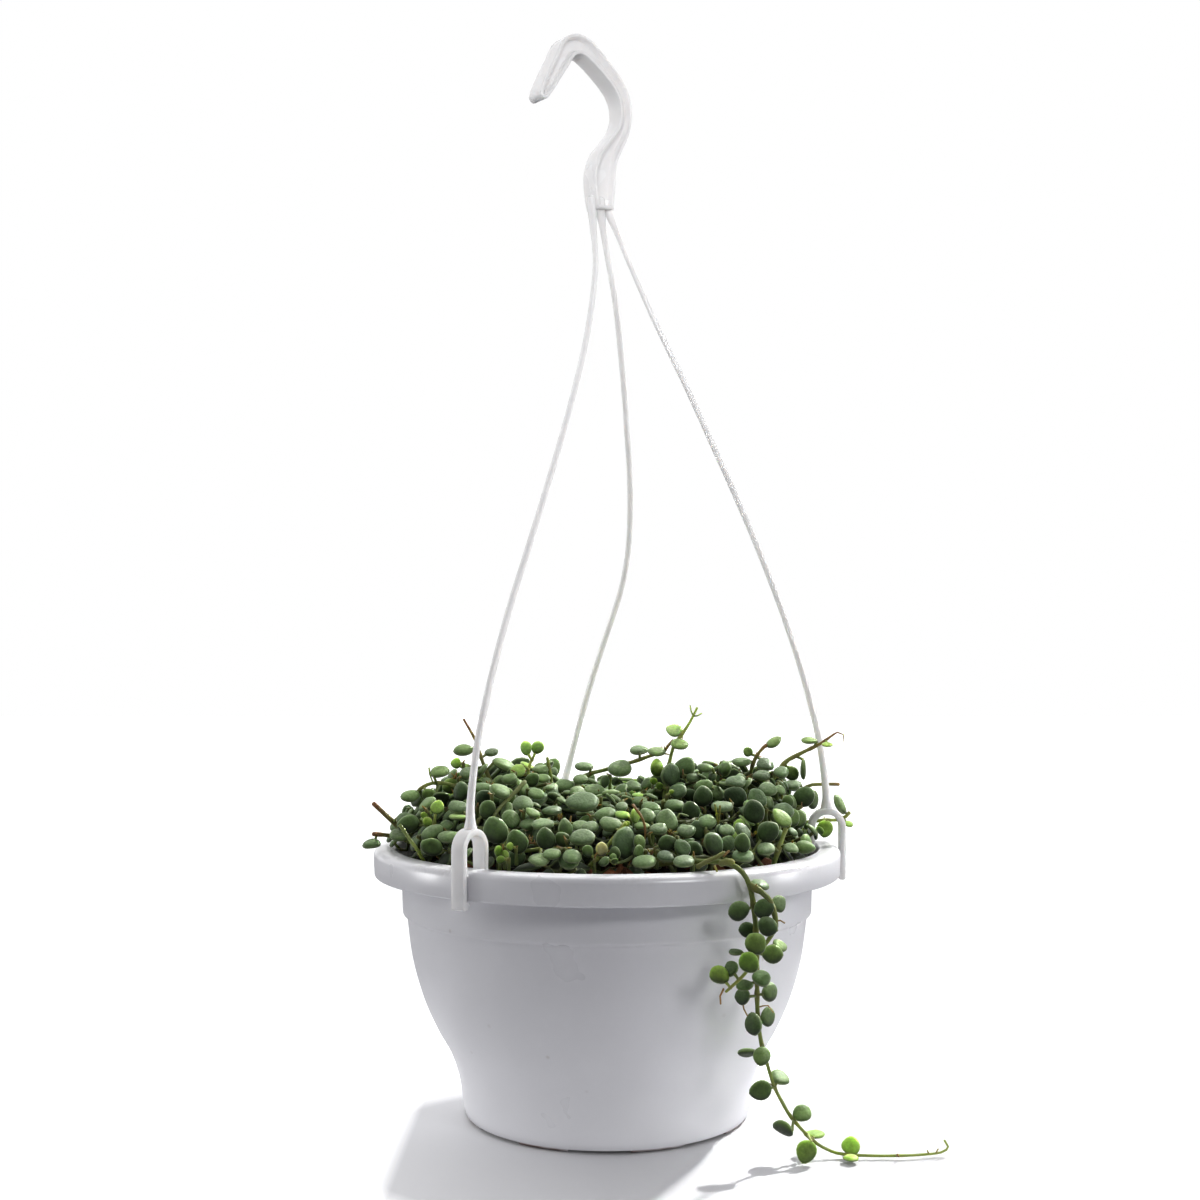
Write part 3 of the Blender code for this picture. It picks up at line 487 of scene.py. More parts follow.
BODY_OUTLINE = [  # (radius, height) in mm of the pot's tapered body, from the ledge down to the base
    (85.9, 86.0), (85.2, 80), (83.9, 70), (81.3, 59), (77.8, 48.5), (73, 38), (67.4, 28),
    (64, 18), (62.6, 10),
]
WALL = 1.5
POT_STEPS = 160
FLOOR_OUTLINE = [(1.0, 4.4), (10.0, 4.4), (52.0, 4.4), (56.6, 4.7), (58.8, 5.7), (60.2, 7.6)]
BORE_OUTLINE = [(85.2, 87.0), (86.4, 87.8), (86.7, 88.8), (86.7, 103.2), (87.2, 104.0), (90.2, 105.0)]
RIM_OUTLINE = [  # from the bore over the lip, down the skirt, up inside it and onto the band
    (90.6, 105.4), (90.6, 113.9), (90.8, 114.6), (91.4, 115.0), (96.0, 115.0), (97.8, 114.8), (99.0, 114.3),
    (99.7, 113.4), (100.0, 112.2), (99.9, 108.0), (99.7, 104.3), (99.5, 103.8), (99.1, 103.5), (98.7, 103.7),
    (98.5, 104.1), (98.4, 112.9), (98.0, 113.4), (92.6, 113.4), (92.2, 113.0), (92.1, 105.6), (91.7, 105.0),
    (88.8, 103.8), (88.3, 103.3), (88.2, 102.6), (88.0, 96), (87.8, 88.6), (87.75, 87.8), (87.5, 87.3),
    (86.9, 87.05), (86.3, 86.8),
]
FOOT_OUTLINE = [  # from the body round the foot ring to the flat hub under the base
    (61.7, 4.2), (61.0, 1.7), (60.5, 0.7), (59.7, 0.15), (59.0, 0.0), (57.2, 0.0), (56.9, 0.3), (56.8, 2.1),
    (56.4, 2.4), (17.0, 2.4), (16.4, 2.2), (16.1, 1.8), (15.9, 0.3), (15.6, 0.0), (3.0, 0.0), (1.0, 0.0),
]
NOTCH_COUNT, NOTCH_START, NOTCH_RING = 8, math.radians(-93), 58.2
NOTCH_SIZE = (9 * MM, 25 * MM, 2.6 * MM)


def make_pot():
    body = [tuple(p) for p in smooth_points([(r, z, 0) for r, z in BODY_OUTLINE], 3.2)]
    outer = [(r, z) for r, z, _ in body]
    inner = [(r - WALL, z) for r, z in reversed(outer)]
    outline = FLOOR_OUTLINE + inner + BORE_OUTLINE + RIM_OUTLINE + outer + FOOT_OUTLINE
    pot = turn_on_wheel("pot_moulding", outline, POT_STEPS)
    cutters = []
    for i in range(NOTCH_COUNT):
        turn = NOTCH_START + i * math.tau / NOTCH_COUNT
        place = (NOTCH_RING * MM * math.cos(turn), NOTCH_RING * MM * math.sin(turn), 0)
        cutter = start_piece("cube", "notch", size=1, location=place, rotation=(0, 0, turn), scale=NOTCH_SIZE)
        settle(cutter)
        cutters.append(cutter)
    combine(pot, cutters, "DIFFERENCE")
    smooth(pot, 50)
    give(pot, POT_GLOSS, "pot_plastic", "pot")


# ---------------------------------------------------------------- potting mix


MIX_TOP = 106.0
MIX_STEPS = 96
MIX_SEED = 3
BARK_CHIPS, BARK_REACH = 190, 82
CHIP_SIZES = [(1, 7, 4, 2.2), (2, 4.5, 3.2, 2.4), (5, 9, 3, 1.8), (9, 2.6, 2.2, 2.0)]  # seed, then mm
FRONT_CHIPS = [  # pieces of bark heaped at the front: x, y, z in mm and size
    (-1, -73, 110.5, 1.1), (5, -70, 112.5, 1.0), (10, -75, 110.5, 1.0), (-6, -68, 111, 0.9),
    (3, -78, 110, 0.9),
    (60, -58, 111.5, 1.1), (45, -64, 111, 1.0), (-34, -68, 111, 1.0), (-57, -50, 111, 1.0),
    (16, -72, 110, 0.8),
]


def make_chip(seed, long, wide, thick):
    """One chip of bark: a block whose corners are knocked about and whose edges are worn."""
    chip = start_piece("cube", "chip", size=1)
    open_piece(chip)
    bpy.ops.mesh.subdivide(number_cuts=1, smoothness=0.25)
    bpy.ops.transform.vertex_random(offset=0.16, uniform=1.0, normal=0.0, seed=seed)
    bpy.ops.transform.resize(value=(long * MM, wide * MM, thick * MM), center_override=(0, 0, 0))
    close_piece()
    points, faces = take_apart(chip)
    return points / MM, faces


def turn_about(axis, angle):
    """Matrix of a turn about an axis, for points in rows."""
    x, y, z = unit(np.asarray(axis, float))
    c, s = math.cos(angle), math.sin(angle)
    k = 1 - c
    return np.array([
        (c + x * x * k, x * y * k + z * s, x * z * k - y * s),
        (x * y * k - z * s, c + y * y * k, y * z * k + x * s),
        (x * z * k + y * s, y * z * k - x * s, c + z * z * k),
    ])


def make_mix():
    """The mix is turned to the inside of the pot. Its top is uneven, and chips of bark lie on it."""
    sides = [(r - WALL - 0.5, z) for r, z in BODY_OUTLINE]
    top = [(float(r), MIX_TOP) for r in range(1, 83, 3)]
    outline = [*top, (84.3, 105.2), (85.4, 103.6), (85.8, 89.2), *sides, (57.6, 4.9), (1.0, 4.9)]
    mix = turn_on_wheel("peat", outline, MIX_STEPS)
    for v in mix.data.vertices:
        if v.co.z > (MIX_TOP - 1) * MM:
            lumps = noise.fractal(Vector(v.co) / (9 * MM), 1.0, 2.0, 3)
            v.co.z += min(max(lumps, -0.9), 1.2) * 1.6 * MM
    points = [tuple(v.co / MM) for v in mix.data.vertices]
    faces = take_apart(mix)[1]
    bark = [0.0] * len(points)
    rng = np.random.default_rng(MIX_SEED)
    chips = [make_chip(*sizes) for sizes in CHIP_SIZES]

    def lay(turned, chip_faces, place, brown):
        faces.extend(shifted(chip_faces, len(points)))
        points.extend(tuple(p) for p in turned + place)
        bark.extend([brown] * len(turned))

    for _ in range(BARK_CHIPS):
        chip, chip_faces = chips[rng.integers(len(chips))]
        ring, angle = BARK_REACH * math.sqrt(rng.uniform(0, 1)), rng.uniform(0, math.tau)
        place = (ring * math.cos(angle), ring * math.sin(angle), MIX_TOP + rng.uniform(-0.4, 1.6))
        turned = chip @ turn_about((rng.normal(), rng.normal(), 0.1), rng.uniform(0, 0.9))
        turned = turned @ turn_about((0, 0, 1), rng.uniform(0, math.tau)) * rng.uniform(0.7, 1.15)
        lay(turned, chip_faces, place, float(rng.uniform(0.1, 1.0)))
    for i, (*place, size) in enumerate(FRONT_CHIPS):
        chip, chip_faces = chips[i % 3]
        turned = chip @ turn_about((rng.normal(), rng.normal(), 0.1), rng.uniform(0.9, 1.6)) * size
        lay(turned, chip_faces, place, 1.0)
    mix = new_piece("peat_and_bark_mix", points, faces)
    mix.data.attributes.new("bark", "FLOAT", "POINT").data.foreach_set("value", bark)
    smooth(mix, 40)
    give(mix, MIX_FINISH, "potting_mix", "potting_mix")


# ---------------------------------------------------------------- hanger


HOOK_TURN = math.radians(38)
HOOK_PLACE = (-3.5, 0, 0)
HOOK_DEPTH = 8.8
HOOK_LIP, HOOK_SLOPE, HOOK_SINK = 1.35, 0.55, 2.9  # mm, of the channel in each face
HOOK_ROUTE = [  # (along, height, half width) in mm, from the tip down to the strands
    (-31.9, 432.2, 2.3), (-29.6, 436.4, 3.0), (-23.2, 447.2, 3.6), (-17.8, 455.4, 4.2),
    (-9.4, 456.6, 4.0), (3.2, 448.3, 3.4), (9.9, 441.2, 3.2), (12.1, 433.2, 3.1),
    (10.6, 425.2, 3.2), (5.6, 417.0, 4.0), (2.2, 411.4, 4.9), (0.5, 404.5, 5.7),
    (0.4, 396.0, 5.2), (0.9, 389.4, 4.1),
]
STRAND_ROUTES = {  # mm, from the hook's base down to the clip
    "left": [(-6.3, -2.6, 394), (-6.3, -2.6, 388), (-5.8, -4.6, 379), (-5, -6.2, 370), (-5, -7.4, 361),
             (-6.8, -10, 344), (-9.8, -14.6, 326), (-13.8, -20.6, 308), (-18.2, -27, 290),
             (-25.2, -37.6, 264),
             (-32.2, -48.4, 239), (-39, -58.4, 215), (-44.8, -67.2, 191), (-49.4, -74, 168),
             (-51.4, -77, 153), (-52.5, -78.8, 141), (-52.6, -78.9, 134), (-52.6, -78.9, 129.6)],
    "back": [(-3.2, -0.6, 394), (-2.6, 0.6, 388), (-1.2, 3.4, 379), (0.4, 6, 370), (2.2, 9, 361),
             (4.2, 13.6, 349), (6.2, 19.6, 332), (7.8, 26.2, 316), (9.2, 33.6, 299), (10.5, 41.4, 282),
             (11, 49.4, 264), (10.2, 57.6, 246), (6.8, 65.6, 227), (-2.3, 77, 199), (-8.6, 83.6, 179),
             (-13.8, 88.4, 160), (-18.2, 91.8, 143), (-20.2, 92.6, 135), (-20.6, 92.8, 129.6)],
    "right": [(-0.4, 2.4, 394), (1.4, 2.8, 388), (4.6, 1.8, 380), (8, 0.8, 371), (11.4, 0.2, 363),
              (18.7, -0.2, 346), (26.7, -0.3, 329), (34.9, -0.3, 312), (43, -0.4, 294), (54.7, -0.5, 268),
              (65.8, -0.6, 242), (75.7, -0.7, 216), (84.3, -0.8, 190), (91, -0.8, 164),
              (94, -0.8, 145), (95, -0.8, 135), (95.1, -0.8, 129.6)],
}
STRAND_SWELL = [  # (height in mm, radius in mm) of every strand
    (129.6, 2.9), (130.8, 2.7), (132.0, 2.15), (134.0, 1.85), (140, 1.62), (150, 1.45), (200, 1.32),
    (375, 1.25),
    (382, 1.5), (388, 2.0), (394, 2.3),
]
CLIP_TURNS = {"left": math.radians(236.3), "back": math.radians(102.5), "right": math.radians(359.5)}
CLIP_OUTER, CLIP_INNER = 101.7, 88.5  # mm, radius of each leg's middle
CLIP_THICK, CLIP_WIDTH = 2.7, 6.0
CLIP_TOP, CLIP_INNER_FOOT, CLIP_OUTER_FOOT = 130.7, 107.5, 100.0
CLIP_BARB = 1.7  # mm that the barb reaches in under the rim's skirt
SKIRT_FOOT = 103.2


def cut_plate(name, outline, thickness, turn=0):
    """A flat plate cut to an outline of (along, height) in mm, in a plane through Z turned about it."""
    plate = start_piece("circle", name, vertices=len(outline), radius=0.01, fill_type="NGON")
    for v, (u, w) in zip(plate.data.vertices, outline):
        v.co = (u * MM, -thickness / 2 * MM, w * MM)
    open_piece(plate)
    draw_out((0, thickness * MM, 0))
    close_piece(outward=True)
    plate.rotation_euler = (0, 0, turn)
    return plate


def hook_outline():
    """Both edges of the hook's route, with a round end at its tip."""
    points = smooth_points(HOOK_ROUTE, 2.2)
    left, right = [], []
    for i, point in enumerate(points):
        along = unit((points[min(i + 1, len(points) - 1)] - points[max(i - 1, 0)])[:2])
        across = np.array((-along[1], along[0]))
        left.append(point[:2] + across * point[2])
        right.append(point[:2] - across * point[2])
    tip, side = points[0], left[0] - points[0][:2]
    back = np.array((-side[1], side[0]))
    turns = [math.pi * i / 6 for i in range(5, 0, -1)]
    return left + right[::-1] + [tip[:2] + side * math.cos(t) + back * math.sin(t) for t in turns]


def make_hook():
    """The hook: a plate with a channel sunk into each face, and all edges rounded."""
    hook = cut_plate("hanger_moulding", hook_outline(), HOOK_DEPTH)
    for side in (-1, 1):
        open_piece(hook)
        pick_faces(hook, lambda face: face.normal.y * side > 0.99 and face.calc_area() > 100 * MM**2)
        bpy.ops.mesh.inset(thickness=HOOK_LIP * MM, depth=0)
        bpy.ops.mesh.inset(thickness=HOOK_SLOPE * MM, depth=-HOOK_SINK * MM)
        close_piece()
    round_edges(hook, 0.55)
    hook.rotation_euler = (0, 0, HOOK_TURN)
    hook.location = Vector(HOOK_PLACE) * MM
    settle(hook)
    return hook


def clip_outline():
    """A clip from the side: an arch of two legs over the rim, with a barb under the skirt."""
    half = CLIP_THICK / 2
    middle, reach = (CLIP_OUTER + CLIP_INNER) / 2, (CLIP_OUTER - CLIP_INNER) / 2
    spring = CLIP_TOP - half - reach
    turns = [math.pi * i / 24 for i in range(25)]
    outer, inner = (
        [(middle + r * math.cos(t), spring + r * math.sin(t)) for t in turns]
        for r in (reach + half, reach - half))
    return [
        (CLIP_OUTER + half, CLIP_OUTER_FOOT + 0.6), *outer, (CLIP_INNER - half + 0.2, CLIP_INNER_FOOT),
        (CLIP_INNER + half - 0.4, CLIP_INNER_FOOT), *inner[::-1], (CLIP_OUTER - half, SKIRT_FOOT + 0.4),
        (CLIP_OUTER - half, SKIRT_FOOT), (CLIP_OUTER - half - CLIP_BARB, SKIRT_FOOT - 0.4),
        (CLIP_OUTER - half, CLIP_OUTER_FOOT), (CLIP_OUTER + half - 0.8, CLIP_OUTER_FOOT),
    ]


def named(kind):
    """The CAD nodes of the three strands, or of the three clips."""
    return [f"hanger_{kind}_{side}" for side in STRAND_ROUTES]


def make_hanger():
    """The hanger is one moulding: hook, three strands that swell at both ends, and three clips."""
    parts = []
    for side, route in STRAND_ROUTES.items():
        points = smooth_points(route, 4)
        radii = [float(np.interp(p[2], *zip(*STRAND_SWELL))) for p in points]
        clip = cut_plate("clip", clip_outline(), CLIP_WIDTH, CLIP_TURNS[side])
        settle(clip)
        round_edges(clip, 0.85)
        parts += [new_piece("strand", *tube(points, radii, 14)), clip]
    hanger = make_hook()
    combine(hanger, parts)
    smooth(hanger, 45)
    give(hanger, HANGER_PLASTIC, "hanger_plastic", "hanger_hook", *named("strand"), *named("clip"))


# ---------------------------------------------------------------- vines


LEAF_ROOT = 0.3  # mm that a leaf's stalk starts inside its stem
LEAF_THICK, LEAF_WIDE = 0.36, 0.92
MOUND_TOP, MOUND_DROP, MOUND_EDGE = 138, 20, 95
MOUND_LUMPS = [(-45, 5, 9, 24), (60, 0, 11, 24), (8, 20, -6, 18)]  # x, y, rise, spread
VINE_REACH, ROOT_REACH = 80, 80
MAIN_VINES, EXTRA_VINES = 17, 34
SHORTEST_VINE = 4
VINE_STEP = 5.5
VINE_DEPTHS = (0.9, 0.62, 0.35)
VINE_LEAF_SIZES = (8.5, 12.5)
OLD_LEAF = 0.1  # how young a common leaf is
ROOT_TRIES, STEP_TRIES, LEAF_TRIES, TWIG_TRIES = 30, 12, 10, 8
TRY_SHRINK = 0.03  # how much smaller a leaf gets with each try
GOLDEN_TURN = math.pi * (3 - math.sqrt(5))

UP, FRONT, RIGHT = (0, 0, 1), (0, -1, 0), (1, 0, 0)
TILT = (0, -0.5, 0.87)  # a leaf that faces up and forward
FLAT = (0, -0.3, 0.95)  # lies back
UNDER = (0, -0.6, -0.8)  # shows its underside
TURN_LEFT, TURN_RIGHT = (-0.7, -0.7, 0.1), (0.7, -0.7, 0.1)
# Shoots that show by their own shape. Each has its stem's route and its leaves, (x, y, z, length, facing).
SHOOTS = {
    "shoot_left_stub": (
        [(-70, -2, 106.3), (-72, -4, 111), (-80, -8, 116), (-90, -12, 125), (-99, -15, 134)],
        [(-84, -25, 128.5, 8.5, TILT), (-83, -2, 124, 9, UP)]),
    "shoot_left_low": (
        [(-74, -24, 106.3), (-76, -22, 112), (-84, -18, 118.5), (-91, -21, 121), (-98, -23, 122)],
        [(-98, -26.5, 118.5, 8, UP), (-86.5, -28, 122.3, 8.5, TILT)]),
    "shoot_left_arch": (
        [(-54, -8, 106.3), (-55, -9, 120), (-58, -9, 134), (-65, -10, 141), (-74, -14, 142.5),
         (-79.5, -16, 140)],
        [(-71, -14, 147.3, 8.6, TILT), (-83, -19, 138, 8.4, TILT), (-67, -6, 140.6, 7.2, FRONT),
         (-75, -18, 137.8, 6.4, FRONT), (-70, -19, 137, 7.6, UNDER)]),
    "shoot_left_tall": (
        [(-44, 4, 106.3), (-45, 3, 120), (-49, 1, 138), (-54, 0, 151), (-57, 0, 160), (-62, 0, 169)],
        [(-62, -1, 155.8, 8.6, TILT), (-50.3, 3, 154.5, 6.4, TILT), (-45, 2, 149.3, 10.5, (0.4, -0.3, 0.85)),
         (-53, -6, 142, 7.5, TILT)]),
    "shoot_lime_pair": (
        [(-33, -2, 106.3), (-33, -1, 118), (-34, 0, 134), (-34, 0, 147), (-32, 0, 152.4)],
        [(-30, -1, 156.8, 5.8, FRONT), (-34.7, 0.5, 156.3, 5.4, (-0.5, -0.85, 0)),
         (-38.2, -6, 147.4, 8, FRONT)]),
    "shoot_green_stub": (
        [(-22, 8, 106.3), (-22, 7, 122), (-24, 5, 141), (-26, 5, 152)],
        [(-28.9, 4, 147, 7.4, TILT), (-18.8, 6, 139.7, 9, TILT)]),
    "shoot_centre_long": (
        [(-22, 26, 106.3), (-22, 25, 120), (-16, 17, 137), (-8, 12, 144), (-2, 10, 146), (11, 6, 150),
         (19, 3, 153), (25, 2, 155)],
        [(-10, 13, 147.6, 8.6, UP), (5.7, 2, 147.8, 11.4, TILT), (14, 8, 155.2, 8.8, UP),
         (21.5, -3, 155.2, 8.8, UP), (-11.5, 6, 142.6, 7, TILT)]),
    "shoot_top": (
        [(24, -6, 106.3), (24, -7, 122), (25, -6, 140), (27, -4, 151), (29, -3, 158), (32, -2, 162),
         (36, -1, 168), (39, -1, 174)],
        [(31, -7, 158.6, 8, TILT), (28.7, 0, 165.6, 9, FRONT), (21.9, -7, 148.6, 9, (0.8, -0.6, 0.1)),
         (27, -13, 145.8, 11, TURN_RIGHT), (32.5, -6, 148.3, 11.5, (-0.6, -0.7, 0.4))]),
    "shoot_right_upright": (
        [(58, 4, 106.3), (58, 3, 120), (61, 1, 138), (63, 0, 149), (66, -1, 155), (69, -1, 158)],
        [(72, -1, 159.3, 7.4, UP), (61, -1, 154.9, 4.6, RIGHT), (58.2, -1, 150.8, 8.6, UP),
         (68, -6, 150.2, 9, TILT)]),
    "shoot_right_long": (
        [(66, -14, 106.3), (66, -14, 122), (69, -9, 140), (76, -5, 150), (82, -6, 154), (91, -10, 159),
         (98, -12, 164), (100.5, -12.5, 163), (100.7, -12.5, 160)],
        [(86.5, -9, 160.2, 7, UP), (93.2, -15, 159, 5, UP), (84.2, -6, 148, 8.6, RIGHT),
         (74, -13, 147, 7.6, TILT),
         (79.5, -3, 146, 7, FRONT)]),
    "shoot_right_stub": (
        [(80, 14, 106.3), (80, 13, 118), (83, 11, 132), (88, 10, 139), (95, 10, 140), (102, 10, 140)],
        [(81, 5, 140, 8, TILT), (89.5, 3, 134, 8.4, TURN_RIGHT)]),
    "shoot_right_edge": (
        [(76, 24, 106.3), (77, 24, 114), (85, 21, 121), (95, 18, 123.2), (104, 17, 123.8),
         (107.5, 15.8, 127)],
        [(103.4, 15, 130.6, 9.6, (0.85, -0.3, 0.4)), (96, 10.5, 120.5, 7.6, FRONT), (86, 27, 125, 9, TILT),
         (107, 15, 122, 4.5, TILT)]),
    "shoot_front_cap": (
        [(66, -46, 106.3), (66.5, -50, 112), (68, -52, 118), (70.5, -49.5, 124), (72.3, -47.5, 128.2)],
        [(70.3, -48, 131.4, 9.6, UP), (62.3, -61, 120.6, 8, TILT), (73, -55, 120, 6.5, TILT)]),
    "shoot_front_dark": (
        [(-6, -56, 106.3), (-6, -60, 111), (-7, -69, 115), (-4, -71, 118), (-0.7, -69.5, 122),
         (6.3, -67, 130.3),
         (7, -70.5, 131.6)],
        [(6.9, -73, 124.3, 13, TURN_RIGHT), (1.2, -61, 130.6, 9.5, TILT), (-2.4, -77, 122.4, 5.6, FRONT)]),
    "shoot_front_left": (
        [(-58, -28, 106.3), (-60, -33, 113), (-66, -43, 117), (-72, -39, 121.5), (-71, -34, 128.5)],
        [(-70.2, -52, 120.2, 8.8, FRONT), (-81.6, -34, 127.3, 9.2, FRONT), (-69.9, -35, 134.2, 7.2, FRONT)]),
    "shoot_front_middle": (
        [(-44, -42, 106.3), (-44, -48, 114), (-42, -57, 120), (-34, -63, 120), (-24, -64, 121),
         (-15, -64, 121)],
        [(-44, -63, 127.9, 11.3, FRONT), (-38.5, -54, 131.3, 8.6, (0.3, -0.8, 0.5)),
         (-35, -73, 124.6, 9.6, FRONT),
         (-24, -71, 125.6, 8.8, FRONT), (-26.2, -80, 118.9, 10, FLAT), (-16.4, -66, 129, 8, TURN_RIGHT)]),
    "shoot_front_right": (
        [(34, -44, 106.3), (35, -50, 113), (41, -62, 116.5), (50, -66, 117), (58, -61, 118.5)],
        [(41.3, -71, 123.8, 9.8, (0.5, -0.85, 0.1)), (52.2, -71, 123.9, 7.4, FRONT),
         (64, -54, 126.4, 9.2, FRONT),
         (53.5, -60, 127.5, 8, (0.5, -0.6, 0.6)), (52.4, -71, 118.9, 10, FLAT)]),
}
TRAILING_STEM = [
    (8, -52, 106.3), (10, -58, 110), (18, -67, 115), (28, -75, 117.6), (36, -82, 118.4), (43, -88, 119),
    (49, -91, 117), (53, -91.5, 111), (55, -90.5, 100.5), (56, -88.5, 86), (56.5, -85.5, 71), (57, -82.5, 61),
    (58.5, -79, 50), (61, -75, 41), (64.5, -71, 30), (72, -66, 16), (80, -64, 7), (86, -64.6, 3.3),
    (92, -65.5, 1.7),
    (104, -66.3, 1.3), (120, -65.5, 1.3), (131, -62.6, 1.4), (134, -62, 3.5), (132.6, -62, 6),
]
TRAILING_BRANCH = [
    (53, -91.5, 111), (59.3, -94, 106.8), (62.7, -93, 98), (60.8, -93.5, 92), (55.6, -96, 86), (51, -97, 79),
    (43.8, -96, 71.8),
]
TRAILING_LEAVES = [
    (13.9, -81, 118.4, 10.2, FLAT), (49, -93, 101.4, 8.2, FRONT), (57.5, -87.5, 110.5, 7.4, (0.3, -0.3, 0.9)),
    (58.2, -94.5, 102.6, 8, FRONT), (64.5, -88, 103.3, 7.5, (0.6, -0.7, 0.3)), (59.5, -95.5, 96, 7.8, FRONT),
    (53, -88, 93.3, 7.2, FRONT), (54.7, -99, 90.2, 8.4, FRONT), (52, -100.5, 83.6, 8.2, FRONT),
    (61.8, -90, 84.6, 7.9, FRONT), (65, -85.5, 87, 6.5, (0.5, -0.5, 0.7)), (48.2, -91, 85.8, 6.2, UP),
    (46, -92, 79.6, 6.6, (-0.5, -0.6, 0.6)), (41.6, -94, 77.6, 7.8, FRONT), (57.4, -92, 76, 8.4, TILT),
    (51.6, -88, 72.6, 6.6, TILT), (51, -84.5, 67.6, 7.4, TURN_LEFT), (61.5, -83.5, 69, 8.4, TURN_RIGHT),
    (61, -81, 59, 8, TURN_RIGHT), (55, -85.5, 57.4, 8.6, (-0.6, -0.75, 0.1)),
    (58.7, -82.5, 44.6, 8, (0.1, -0.8, 0.6)),
    (53.6, -76, 44.2, 7.2, UNDER), (59.3, -72, 28.6, 8.8, FRONT), (67, -68.5, 32.4, 8.6, (0.4, -0.4, 0.8)),
    (76.2, -65, 17.6, 8.2, (0.1, -0.7, 0.7)), (68.4, -68.5, 12.6, 8.8, (-0.5, -0.6, -0.5)),
    (81.8, -59, 7.6, 9.2, UP),
    (76.8, -73.5, 5.3, 9.2, FRONT), (95.5, -63.5, 4.3, 7.8, (-0.3, -0.7, 0.6)), (94.4, -70.5, 1.9, 6.6, UP),
]
# How young each of their leaves is, in the same order: 0 is old and dark, 1 is lime, above 1 a leaf is
# painted paler as if lit through, and above 1.9 it is cream.
YOUTH = {
    "shoot_left_stub": (0.1, 0.1), "shoot_left_low": (0.1, 0.15),
    "shoot_left_arch": (0.25, 0.3, 0.55, 0.55, 0.2),
    "shoot_left_tall": (0.2, 0.1, 0.2, 0.1), "shoot_lime_pair": (1.35, 1.5, 1.2),
    "shoot_green_stub": (0.1, 0.1),
    "shoot_centre_long": (0.1, 0.1, 0.05, 0.25, 0.15), "shoot_top": (0.35, 1.45, 0.9, 0, 0.05),
    "shoot_right_upright": (0.4, 0.65, 0.1, 0.05), "shoot_right_long": (0.5, 0.85, 0.35, 0, 0.45),
    "shoot_right_stub": (0.1, 0.25), "shoot_right_edge": (0.3, 1.0, 0.1, 0.75),
    "shoot_front_cap": (0.55, 0.15, 0.1),
    "shoot_front_dark": (0, 0.1, 2), "shoot_front_left": (0.15, 0.1, 1.1),
    "shoot_front_middle": (0.15, 0.15, 0.1, 0.1, 0.2, 0.2), "shoot_front_right": (0.05, 0.1, 0.1, 0.05, 0),
    "vine_trailing": (
        0.1, 0.1, 0.15, 0.05, 0.2, 0.1, 0.05, 0.5, 0.75, 0.35, 0.3, 0.1, 0.1, 0.9, 0.05, 0.1, 0.05, 0.2,
        0.2, 0.1,
        0.25, 0.2, 0.3, 0.3, 0.35, 0.3, 0.8, 0.75, 0.95, 0.85),
}
# Each shoot's stem: radius at its foot and its end in mm, how dry its end is, and how late it thins.
STEM_ENDS = {
    "shoot_left_stub": (1.1, 1.0, 1.2, 1), "shoot_left_low": (1.0, 0.8, 1.0, 1),
    "shoot_left_tall": (1.0, 0.5, 1.2, 2),
    "shoot_lime_pair": (0.8, 0.5, 0.0, 1), "shoot_centre_long": (0.95, 0.7, 0.5, 2),
    "shoot_top": (0.95, 0.5, 0.0, 2),
    "shoot_right_long": (1.0, 0.15, 1.5, 4), "shoot_right_upright": (1.0, 0.6, 0.8, 2),
    "shoot_front_cap": (1.0, 0.8, 0, 1),
    "shoot_right_stub": (0.9, 0.7, 0.8, 1),
}
# Leaves that sit a little differently from their plain solids: shoot and number, then the leaf.
SEEN_LEAVES = {
    ("shoot_top", 1): (29.3, 0, 164.3, 7.6, (-0.1, -0.7, 0.7)),
    ("shoot_right_upright", 0): (72, -1, 159.3, 7.4, (-0.5, -0.45, 0.75)),
    ("shoot_right_upright", 1): (61, -1, 154.9, 4.8, (0.5, -0.85, 0.1)),
    ("shoot_front_cap", 0): (70.3, -48, 131.4, 9.6, (0.4, -0.65, 0.7)),
    ("shoot_lime_pair", 1): (-35, -1, 156.6, 6.4, (-0.3, -0.9, 0)),
    ("shoot_lime_pair", 2): (-38.2, -6, 147.4, 6.8, (0, -0.85, 0.5)),
    ("shoot_front_left", 2): (-69.9, -35, 134.2, 6.2, (0, -0.9, 0.4)),
}
BACK_LEFT, BACK_RIGHT = (-0.5, -0.8, 0.2), (0.3, -0.9, 0.2)
LYING = (0, -0.15, 0.98)
